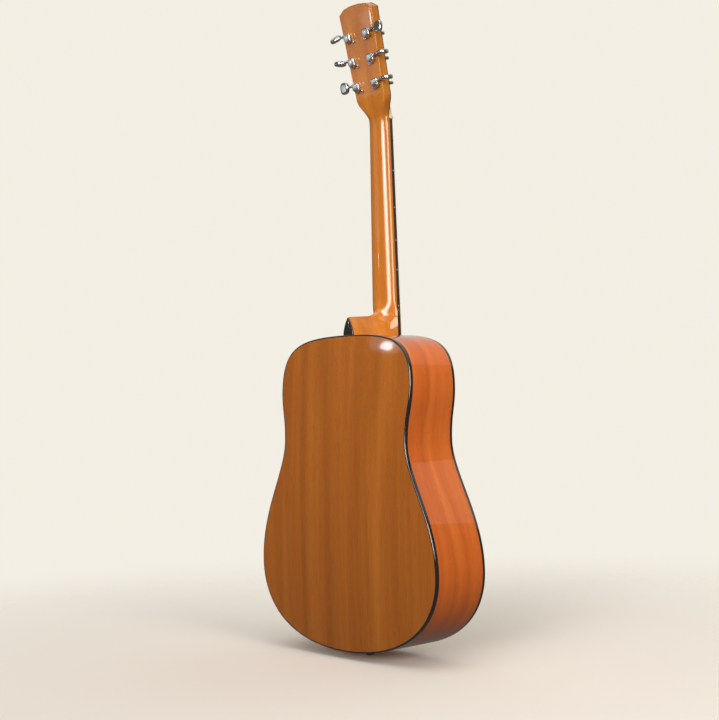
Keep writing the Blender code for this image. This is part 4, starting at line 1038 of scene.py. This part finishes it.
def fret_jig():
    """Fret wires at the scale's own spacing, as wide as the board at each, bent to its crown."""
    jig = Jig("fret_wires", Finish="Material", Count=1, Nut=0.0, Scale=0.0, Face=0.0, NutWidth=0.0,
              Spread=0.0, BoardRadius=1.0, WireRadius=0.0)
    number = jig.math("ADD", jig.add("GeometryNodeInputIndex"), 1.0)
    shrink = jig.math("POWER", 2.0, jig.math("DIVIDE", number, -12.0))
    reach = jig.math("MULTIPLY", jig.size("Scale"), jig.math("SUBTRACT", 1.0, shrink))
    width = jig.math("ADD", jig.size("NutWidth"), jig.math("MULTIPLY", reach, jig.size("Spread")))
    points = jig.add("GeometryNodeSetPosition", {
        "Geometry": jig.add("GeometryNodeMeshLine", {"Count": jig.size("Count")}),
        "Position": jig.vector(0.0, jig.size("Face"), jig.math("SUBTRACT", jig.size("Nut"), reach))})
    line = jig.add("GeometryNodeCurvePrimitiveLine", {"Start": (-0.5, 0.0, 0.0), "End": (0.5, 0.0, 0.0)})
    evened = jig.add("GeometryNodeResampleCurve", {"Curve": line, "Count": 17})
    bead = jig.add("GeometryNodeCurvePrimitiveCircle", {"Resolution": 12, "Radius": jig.size("WireRadius")})
    wire_mesh = jig.add("GeometryNodeCurveToMesh", {
        "Curve": evened, "Profile Curve": bead, "Fill Caps": True})
    placed = jig.add("GeometryNodeInstanceOnPoints", {
        "Points": points, "Instance": wire_mesh, "Scale": jig.vector(width, 1.0, 1.0)})
    real = jig.add("GeometryNodeRealizeInstances", {0: placed})
    x = jig.add("ShaderNodeSeparateXYZ", {0: jig.add("GeometryNodeInputPosition")}).outputs["X"]
    drop = jig.math("DIVIDE", jig.math("MULTIPLY", x, x), jig.math("MULTIPLY", jig.size("BoardRadius"), 2.0))
    return jig.close(jig.add("GeometryNodeSetPosition", {
        "Geometry": real, "Offset": jig.vector(0.0, drop, 0.0)}))


def make_frets():
    spread = 2 * (JOIN_HALF - NUT_HALF) / NECK_LENGTH
    made = run(fret_jig(), "frets", Finish=FRET_METAL, Count=FRETS, Nut=NUT_Z, Scale=SCALE,
               Face=TOP_Y - BOARD_THICKNESS, NutWidth=2 * NUT_HALF - 0.0006, Spread=spread,
               BoardRadius=BOARD_RADIUS, WireRadius=0.00105)
    seat(made)


def stud_jig():
    """Domed round studs on the base's points, facing one way."""
    jig = Jig("studs", Finish="Material", Radius=0.0, Height=0.0, Turn=0.0, Swing=0.0, Sides=24)
    round_head = jig.add("GeometryNodeMeshUVSphere", {
        "Segments": jig.size("Sides"), "Rings": 10, "Radius": 1.0})
    scale = jig.vector(jig.size("Radius"), jig.size("Radius"), jig.size("Height"))
    return jig.close(jig.add("GeometryNodeInstanceOnPoints", {
        "Points": jig.entry.outputs[0], "Instance": round_head, "Scale": scale,
        "Rotation": jig.vector(jig.size("Turn"), jig.size("Swing"), 0.0)}))


def studs(name, points, finish, radius, height, turn=math.pi / 2, swing=0.0, body="guitar"):
    mesh = bpy.data.meshes.new(name)
    mesh.from_pydata(points, [], [])
    made = run(stud_jig(), name, mesh, 60, Finish=finish, Radius=radius, Height=height, Turn=turn,
               Swing=swing)
    return seat(made, body)


def fret_z(number):
    return NUT_Z - SCALE * (1 - 2 ** (-number / 12))


def make_dots():
    """Position dots midway between the frets, on the board's face and along its bass edge."""
    marked = (3, 5, 7, 9, 12, 15, 17, 19)
    faces, edges = [], []
    for number in marked:
        z = (fret_z(number) + fret_z(number - 1)) / 2
        half = NUT_HALF + (JOIN_HALF - NUT_HALF) * (NUT_Z - z) / NECK_LENGTH
        for x in ((-0.010, 0.010) if number == 12 else (0,)):
            faces.append(at(x, -BOARD_THICKNESS + x * x / (2 * BOARD_RADIUS), z))
        for step in ((-0.0035, 0.0035) if number == 12 else (0,)):
            edges.append(at(-half, -BOARD_THICKNESS * 0.55, z + step))
    studs("face_dots", faces, PEARL, 0.0030, 0.00008)
    studs("edge_dots", edges, PEARL, 0.0010, 0.00008, 0.0, math.pi / 2)


def make_rosette():
    loops = [circle_loop(HOLE.x, HOLE.z, radius, 128) for radius in (ROSETTE_OUTER, ROSETTE_INNER)]
    made = sheet("rosette_finished", loops, TOP_Y - 0.00004, TOP_Y + ROSETTE_DEPTH, ROSETTE, 0.00003)
    seat(made, replaces=("rosette",))


def make_pickguard():
    edge = ROSETTE_OUTER + 0.0015
    arc = [(HOLE.x + x, HOLE.z + z) for x, z in fillet((0, 0), edge, 50, -70, 40)]
    outline = arc[:-1]
    belly = ((arc[-1], (0.024, 0.262), (0.060, 0.243), (0.088, 0.247)),
             ((0.088, 0.247), (0.112, 0.250), (0.125, 0.290), (0.121, 0.330)),
             ((0.121, 0.330), (0.116, 0.370), (0.078, 0.398), arc[0]))
    for part in belly:
        outline += [tuple(point) for point, _ in cubic(*part, 20)]
    made = sheet("pickguard_finished", [outline], TOP_Y - 0.0015, TOP_Y - 0.0001, TORTOISE, 0.0004)
    seat(made, replaces=("pickguard",))


def make_bridge_pins():
    for index in range(6):
        place = Matrix.Translation(at(string_x(index, BRIDGE_SPREAD), -BRIDGE_THICKNESS, PIN_Z))
        head = [(0.0036, -0.0003), (0.0039, -0.0009), (0.0039, -0.0016), (0.0036, -0.0024), (0.0029, -0.0032),
                (0.0019, -0.0038), (0.0008, -0.0040)]
        shaft = [(0.0010, PIN_LENGTH), (0.0018, PIN_LENGTH - 0.0006), (0.0021, PIN_LENGTH - 0.0018),
                 (PIN_RADIUS, -0.0003)]
        pin = turned("pin", shaft + head, "Y", PIN_PLASTIC, 32, place)
        groove = STRING_RADII[index] + PIN_CLEARANCE
        flute_low = (-groove, -0.0001, PIN_RADIUS - 2 * groove)
        flute = box("flute", flute_low, (groove, PIN_LENGTH + 0.01, 0.01), place)
        pin.name = f"bridge_pin_{index + 1}_finished"
        body = f"bridge_pin_{index + 1}"
        seat(shaped(pin, flute), body, (body,))
        top = at(string_x(index, BRIDGE_SPREAD), -BRIDGE_THICKNESS - 0.0040, PIN_Z)
        studs(f"pin_dot_{index + 1}", [top], PEARL, 0.0011, 0.0002, body=body)


WIRE_SIDES = 10


def wire_tube(name, points, radii, finish):
    """A round wire along points. Its grain map's first value is the length along it."""
    rings, lengths = [], []
    side, length = Vector((1, 0, 0)), 0.0
    for i, point in enumerate(points):
        way = (points[min(i + 1, len(points) - 1)] - points[max(i - 1, 0)]).normalized()
        side = (side - way * side.dot(way)).normalized()
        other = way.cross(side)
        angles = [2 * math.pi * k / WIRE_SIDES for k in range(WIRE_SIDES)]
        rings.append([point + radii[i] * (math.cos(a) * side + math.sin(a) * other) for a in angles])
        length += (point - points[i - 1]).length if i else 0.0
        lengths.append(length)
    widths = [k / WIRE_SIDES for k in range(WIRE_SIDES)]
    return loft(name, rings, finish, grain=(lengths, widths), crease=60)


def string_points(index):
    """The string's course from its ball end under the plate, over saddle and nut, to its post."""
    radius = STRING_RADII[index]
    side, step = post_of(index)
    x = string_x(index, BRIDGE_SPREAD)
    hole_z = PIN_Z + PIN_RADIUS - radius
    seat_v = -BRIDGE_THICKNESS
    hook, ball_z = TOP_THICKNESS + 0.0044, PIN_Z + PIN_RADIUS + 0.0009
    saddle_z = SADDLE_Z + x * math.tan(SADDLE_SLANT)
    points = [at(x, hook, ball_z + 0.0033), at(x, hook, ball_z + 0.0030), at(x, hook, ball_z),
              at(x, hook, ball_z - 0.0001), at(x, hook, hole_z + 0.0006), at(x, hook - 0.0006, hole_z),
              at(x, seat_v + 0.0022, hole_z), at(x, seat_v + 0.0012, hole_z + 0.0004),
              at(x, seat_v + 0.0006, hole_z + 0.0016), at(x, STRING_AT_SADDLE - radius, saddle_z),
              at(string_x(index, NUT_SPREAD), STRING_AT_NUT - radius, NUT_Z + 0.0002)]
    post = head_point(side * POST_X, -VENEER - 0.0085, step)
    start = points[-1]
    reach = POST_RADIUS + radius
    flat = Vector((post.x - start.x, 0, post.z - start.z))
    lean = math.atan2(flat.x, flat.z) - side * math.asin(reach / flat.length)
    length = math.sqrt(flat.length_squared - reach**2)
    points.append(Vector((start.x + length * math.sin(lean), post.y, start.z + length * math.cos(lean))))
    return points


def string_finish(index):
    return (WOUND_WIRE, "wound_string") if index < 4 else (PLAIN_WIRE, "plain_string")


def make_strings():
    for index, radius in enumerate(STRING_RADII):
        points = string_points(index)
        radii = [BALL_RADIUS * 0.7, BALL_RADIUS, BALL_RADIUS] + [radius] * (len(points) - 3)
        finish, slot = string_finish(index)
        name = f"string_{index + 1}"
        seat(wire_tube(name + "_finished", points, radii, finish), replaces=(name,))


def coil_jig():
    jig = Jig("string_coil", Finish="Material", Turns=1.0, Radius=0.0, Height=0.0, WireRadius=0.0)
    spiral = jig.add("GeometryNodeCurveSpiral", {
        "Resolution": 28, "Rotations": jig.size("Turns"), "Start Radius": jig.size("Radius"),
        "End Radius": jig.size("Radius"), "Height": jig.size("Height")})
    bead = jig.add("GeometryNodeCurvePrimitiveCircle", {
        "Resolution": WIRE_SIDES, "Radius": jig.size("WireRadius")})
    return jig.close(jig.add("GeometryNodeCurveToMesh", {
        "Curve": spiral, "Profile Curve": bead, "Fill Caps": True}))


def make_post(index):
    """The wheel and the post through the head, with the string wound on it in a true coil."""
    place = post_place(index)
    front, top = -VENEER, -VENEER - POST_HEIGHT
    waist = POST_RADIUS * 0.86
    profile = [(WHEEL_RADIUS - 0.0004, WHEEL_BACK), (WHEEL_RADIUS, WHEEL_BACK - 0.0004),
               (WHEEL_RADIUS, WHEEL_BACK - 0.0046), (WHEEL_RADIUS - 0.0004, WHEEL_BACK - 0.0050),
               (POST_RADIUS, WHEEL_BACK - 0.0050), (POST_RADIUS, front - 0.0062), (waist, front - 0.0070),
               (waist, top + 0.0050), (POST_RADIUS, top + 0.0042), (POST_RADIUS, top + 0.0006),
               (POST_RADIUS - 0.0002, top + 0.0002), (POST_RADIUS - 0.0006, top)]
    body = f"tuner_post_{index + 1}"
    post = turned(body + "_finished", profile, "Y", CHROME, 40, place)
    hole = turned("string_hole", [(0.0009, -0.01), (0.0009, 0.01)], "X", None, 16,
                  place @ Matrix.Translation((0, top + 0.0064, 0)))
    seat(shaped(post, hole), body, (body,))
    radius = STRING_RADII[index]
    finish, slot = string_finish(index)
    coil = run(coil_jig(), f"string_coil_{index + 1}", None, 60, Finish=finish, Turns=COIL_TURNS,
               Radius=waist + radius, Height=3.4 * 2 * radius, WireRadius=radius)
    stand = Matrix.Rotation(math.pi / 2, 4, "X") @ Matrix.Scale(1, 4)
    coil.data.transform(place @ Matrix.Translation((0, front - 0.0085 + radius, 0)) @ stand)
    seat(coil, body)


def make_housing(index):
    """A pointed casting with chamfered edges and a screw ear, hollow for the wheel and the worm."""
    side, place = post_of(index)[0], post_place(index)
    back = HEAD_THICKNESS + 0.0002
    shape = ((-0.0055, 0.0095), (0.0085, 0.0095), (0.0085, -0.0015), (0.0018, -0.0070), (-0.0055, -0.0025))
    middle = Vector((0.0015, 0.0025))
    rings = []
    for n, share in ((0.0, 1.0), (0.0066, 1.0), (0.0088, 0.80), (0.0090, 0.77)):
        spots = [middle + (Vector(corner) - middle) * share for corner in shape]
        rings.append([Vector((side * u, back + n, s)) for u, s in spots])
    name = f"tuner_housing_{index + 1}"
    casting = eased(loft(name + "_finished", rings, CHROME, place=place, crease=20), 0.0004, 2, 15)
    ear_place = place @ Matrix.Translation((-side * 0.0068, 0, -0.0045))
    ear_profile = [(0.0032, back), (0.0032, back + 0.0019), (0.0029, back + 0.0022)]
    ear = turned("ear", ear_profile, "Y", None, 28, ear_place)
    shaped(casting, ear, operation="UNION")
    worm = place @ Matrix.Translation((0, WORM_DEPTH, WORM_STEP))
    pocket_radius = WHEEL_RADIUS + 0.0007
    pocket_profile = [(pocket_radius, 0), (pocket_radius, WHEEL_BACK + 0.0003)]
    pocket = turned("pocket", pocket_profile, "Y", None, 24, place)
    tunnel = turned("tunnel", [(0.0024, -side * 0.0042), (0.0024, side * 0.0068)], "X", None, 20, worm)
    bore = turned("bore", [(0.0019, 0), (0.0019, side * 0.02)], "X", None, 20, worm)
    seat(shaped(casting, pocket, tunnel, bore), replaces=(name,))
    return ear_place @ Vector((0, back + 0.0022, 0))


def make_button(index):
    """Worm, shaft and collar with an oval button, all turning about the worm's axis."""
    side, step = post_of(index)
    axis = HEAD_PLACE @ Matrix.Translation((side * POST_X, WORM_DEPTH, step + WORM_STEP))
    place = axis @ Matrix.Rotation(math.radians(BUTTON_TURNS[index]), 4, "X")
    profile = [(0.0014, -0.0036), (0.0018, -0.0032), (0.0018, 0.0056), (0.0015, 0.0062), (0.0015, 0.0092),
               (0.0029, 0.0093), (0.0032, 0.0096), (0.0032, 0.0107), (0.0029, 0.0110), (0.0022, 0.0114),
               (0.0019, 0.0124), (0.0019, 0.0188), (0.0022, 0.0198), (0.0030, 0.0208), (0.0030, 0.0250)]
    name = f"tuner_button_{index + 1}"
    made = turned(name + "_finished", [(r, side * u) for r, u in profile], "X", CHROME, 28, place)
    middle, long_half, wide_half, thick_half = 0.0294, 0.0090, 0.0100, 0.0038
    outline_power, face_power, edge_power, outer_swell = 0.78, 0.7, 0.30, 0.10
    layers, corners = 16, 40
    rings = []
    for i in range(layers + 1):
        lift = math.pi * i / layers
        y = -thick_half * math.copysign(abs(math.cos(lift)) ** face_power, math.cos(lift))
        share = max(0.02, math.sin(lift)) ** edge_power
        ring = []
        for k in range(corners):
            turn = 2 * math.pi * k / corners
            c, s = math.cos(turn), math.sin(turn)
            u = long_half * math.copysign(abs(c) ** outline_power, c)
            w = wide_half * math.copysign(abs(s) ** outline_power, s) * (1 + outer_swell * c)
            ring.append(Vector((side * (middle + u * share), y, w * share)))
        rings.append(ring)
    grip = loft("grip", rings, CHROME, place=place)
    seat(shaped(made, grip, operation="UNION"), name, (name,))


def collar(name, profile, finish, count, place):
    """A closed ring turned about Y from a closed (radius, height) outline."""
    rows = []
    for i in range(count):
        turn = 2 * math.pi * (i + 0.5) / count
        rows.append([Vector((r * math.cos(turn), n, r * math.sin(turn))) for r, n in profile])
    return loft(name, rows, finish, row_closed=True, place=place)


def make_bushing(index):
    """Washer and hex nut round the post, on the front of the head."""
    place = post_place(index)
    front = -VENEER
    washer = [(0.0033, front), (0.0066, front), (0.0064, front - 0.0006), (0.0033, front - 0.0007)]
    bore = (POST_RADIUS + BUSHING_PLAY) / math.cos(math.pi / 6)
    nut = [(bore, front - 0.0008), (0.0055, front - 0.0008), (0.0055, front - 0.0027),
           (0.0048, front - 0.0032), (bore, front - 0.0032)]
    seat(collar(f"washer_{index + 1}", washer, CHROME, 48, place))
    seat(collar(f"bushing_{index + 1}", nut, CHROME, 6, place))


def make_tuners():
    ears = []
    for index in range(6):
        ears.append(make_housing(index))
        make_button(index)
        make_post(index)
        make_bushing(index)
    studs("ear_screws", ears, CHROME, 0.0020, 0.0009, math.pi / 2 - HEAD_TILT)


def make_end_pin():
    profile = [(0.0034, 0.0200), (0.0038, 0.0196), (0.0045, -0.0002), (0.0066, -0.0002), (0.0071, -0.0008),
               (0.0071, -0.0018), (0.0062, -0.0030), (0.0052, -0.0042), (0.0050, -0.0055), (0.0053, -0.0070),
               (0.0066, -0.0082), (0.0072, -0.0094), (0.0072, -0.0110), (0.0066, -0.0119), (0.0052, -0.0125),
               (0.0030, -0.0126)]
    seat(turned("end_pin_finished", profile, "Z", PIN_PLASTIC, 40), "end_pin", ("end_pin",))


EASING = 0.0003
for finish, slot, nodes in (
    (BLOCK_WOOD, "block_wood", ("neck_block", "tail_block")),
    (BRACE_WOOD, "brace_wood", ("x_brace_bass", "x_brace_treble", "transverse_brace", "tone_bar_upper",
                                "tone_bar_lower")),
    (PLATE_WOOD, "plate_wood", ("bridge_plate",)),
    (BRACE_WOOD, "brace_wood", ("back_bracing",)),
    (BONE, "bone", ("saddle", "nut")),
    (BRIDGE_WOOD, "bridge_wood", ("bridge",)),
):
    for node in nodes:
        eased_part(node, finish, "guitar", EASING)
eased_part("truss_rod", ROD_STEEL, "truss_rod", EASING)
make_soundboard()
make_back()
make_bindings()
make_sides()
make_linings()
make_neck()
make_head_veneer()
make_fretboard()
make_frets()
make_dots()
make_heel_cap()
make_rosette()
make_pickguard()
make_bridge_pins()
make_strings()
make_tuners()
make_end_pin()


# Studio

FLOOR_TONE = (0.78, 0.735, 0.685)
FLOOR_REACH, FADE_START, FADE_END = 2.4, 0.25, 1.5
ROOM_SEEN, ROOM_SEEN_STRENGTH = (0.90, 0.86, 0.77, 1.0), 1.0
ROOM_MIRRORED, ROOM_MIRRORED_STRENGTH = (1.0, 0.93, 0.84, 1.0), 0.13
DAYLIGHT = (1.0, 0.975, 0.93)


def make_floor():
    """A pale floor that fades out into the room. It is hidden from bounce light and from reflections."""
    mesh = bpy.data.meshes.new("floor")
    reach, level = FLOOR_REACH, CAD_BOX[0].z
    corners = [(-reach, -reach, level), (reach, -reach, level), (reach, reach, level), (-reach, reach, level)]
    mesh.from_pydata(corners, [], [(0, 1, 2, 3)])
    made = Finish("studio_floor", roughness=0.9)
    spot = made.node("TexCoord").outputs["Object"]
    cloud = made.noise(spot, 1.5, 2.0)
    made.colour(made.ramp(cloud, (0.3, FLOOR_TONE), (0.7, tuple(1.02 * part for part in FLOOR_TONE))))
    away = made.node("VectorMath", {0: spot}, operation="LENGTH").outputs["Value"]
    fade = made.node("MapRange", {"Value": away, "From Min": FADE_START, "From Max": FADE_END},
                     interpolation_type="SMOOTHSTEP").outputs["Result"]
    made.shader.inputs["Specular IOR Level"].default_value = 0.0
    clear = made.node("BsdfTransparent").outputs[0]
    mix = made.node("MixShader", {0: fade, 1: made.shader.outputs[0], 2: clear}).outputs[0]
    made.tree.links.new(mix, made.tree.nodes["Material Output"].inputs["Surface"])
    floor = shell("floor", mesh, made.material)
    floor.visible_diffuse = False
    floor.visible_glossy = False


def soft_light(name, place, target, width, height, power, colour, spread=180, shape="RECTANGLE"):
    """An area light at a place, turned to a target and not seen itself."""
    data = bpy.data.lights.new(name, "AREA")
    data.spread = math.radians(spread)
    data.shape = shape
    data.size, data.size_y = width, height
    data.energy = power
    data.color = colour
    made = bpy.data.objects.new(name, data)
    bpy.context.scene.collection.objects.link(made)
    made.location = place
    made.rotation_euler = (Vector(target) - Vector(place)).to_track_quat("-Z", "Y").to_euler()
    made.visible_camera = False


def soft_sun(name, way, strength, angle=60):
    """Even light from far off, along the way back to it."""
    data = bpy.data.lights.new(name, "SUN")
    data.energy = strength
    data.angle = math.radians(angle)
    data.color = DAYLIGHT
    made = bpy.data.objects.new(name, data)
    bpy.context.scene.collection.objects.link(made)
    made.rotation_euler = (-Vector(way)).to_track_quat("-Z", "Y").to_euler()


def make_world():
    """A cream room, bright where it is seen and dim in what the lacquer mirrors and what lights it."""
    world = bpy.data.worlds.new("studio")
    bpy.context.scene.world = world
    world.use_nodes = True
    nodes, links = world.node_tree.nodes, world.node_tree.links
    seen = nodes["Background"]
    seen.inputs["Color"].default_value = ROOM_SEEN
    seen.inputs["Strength"].default_value = ROOM_SEEN_STRENGTH
    mirrored = nodes.new("ShaderNodeBackground")
    mirrored.inputs["Color"].default_value = ROOM_MIRRORED
    mirrored.inputs["Strength"].default_value = ROOM_MIRRORED_STRENGTH
    ray = nodes.new("ShaderNodeLightPath")
    mix = nodes.new("ShaderNodeMixShader")
    links.new(ray.outputs["Is Camera Ray"], mix.inputs[0])
    links.new(mirrored.outputs[0], mix.inputs[1])
    links.new(seen.outputs[0], mix.inputs[2])
    links.new(mix.outputs[0], nodes["World Output"].inputs["Surface"])


def make_studio():
    make_world()
    middle = (0, 0, 0.45)
    shoulder = (-0.09, 0.05, 0.49)
    soft_sun("daylight", (-0.25, 0.45, 1.0), strength=1.3)
    soft_sun("front", (0.3, -1.0, 0.9), strength=0.9, angle=100)
    soft_light("key", (-0.7, 1.75, 0.95), (0, 0, 0.56), width=2.0, height=1.2, power=8.2,
               colour=(1.0, 0.96, 0.90), spread=42)
    soft_light("side", (-3.0, 0.5, 1.2), middle, width=1.3, height=1.3, power=50,
               colour=(1.0, 0.94, 0.86))
    soft_light("window", (1.97, 2.18, 0.94), shoulder, width=0.090, height=0.050, power=0.20,
               colour=(0.80, 0.90, 1.0), shape="ELLIPSE")
    soft_light("window_glow", (1.95, 2.16, 0.95), shoulder, width=0.24, height=0.12, power=0.08,
               colour=(0.80, 0.84, 1.0), shape="ELLIPSE")
    soft_light("head_panel", (0.86, 0.87, 0.96), (0, 0, 0.98), width=0.55, height=0.30, power=0.36,
               colour=(0.86, 0.93, 1.0))
    bpy.context.scene.view_settings.view_transform = "Standard"


make_floor()
make_studio()
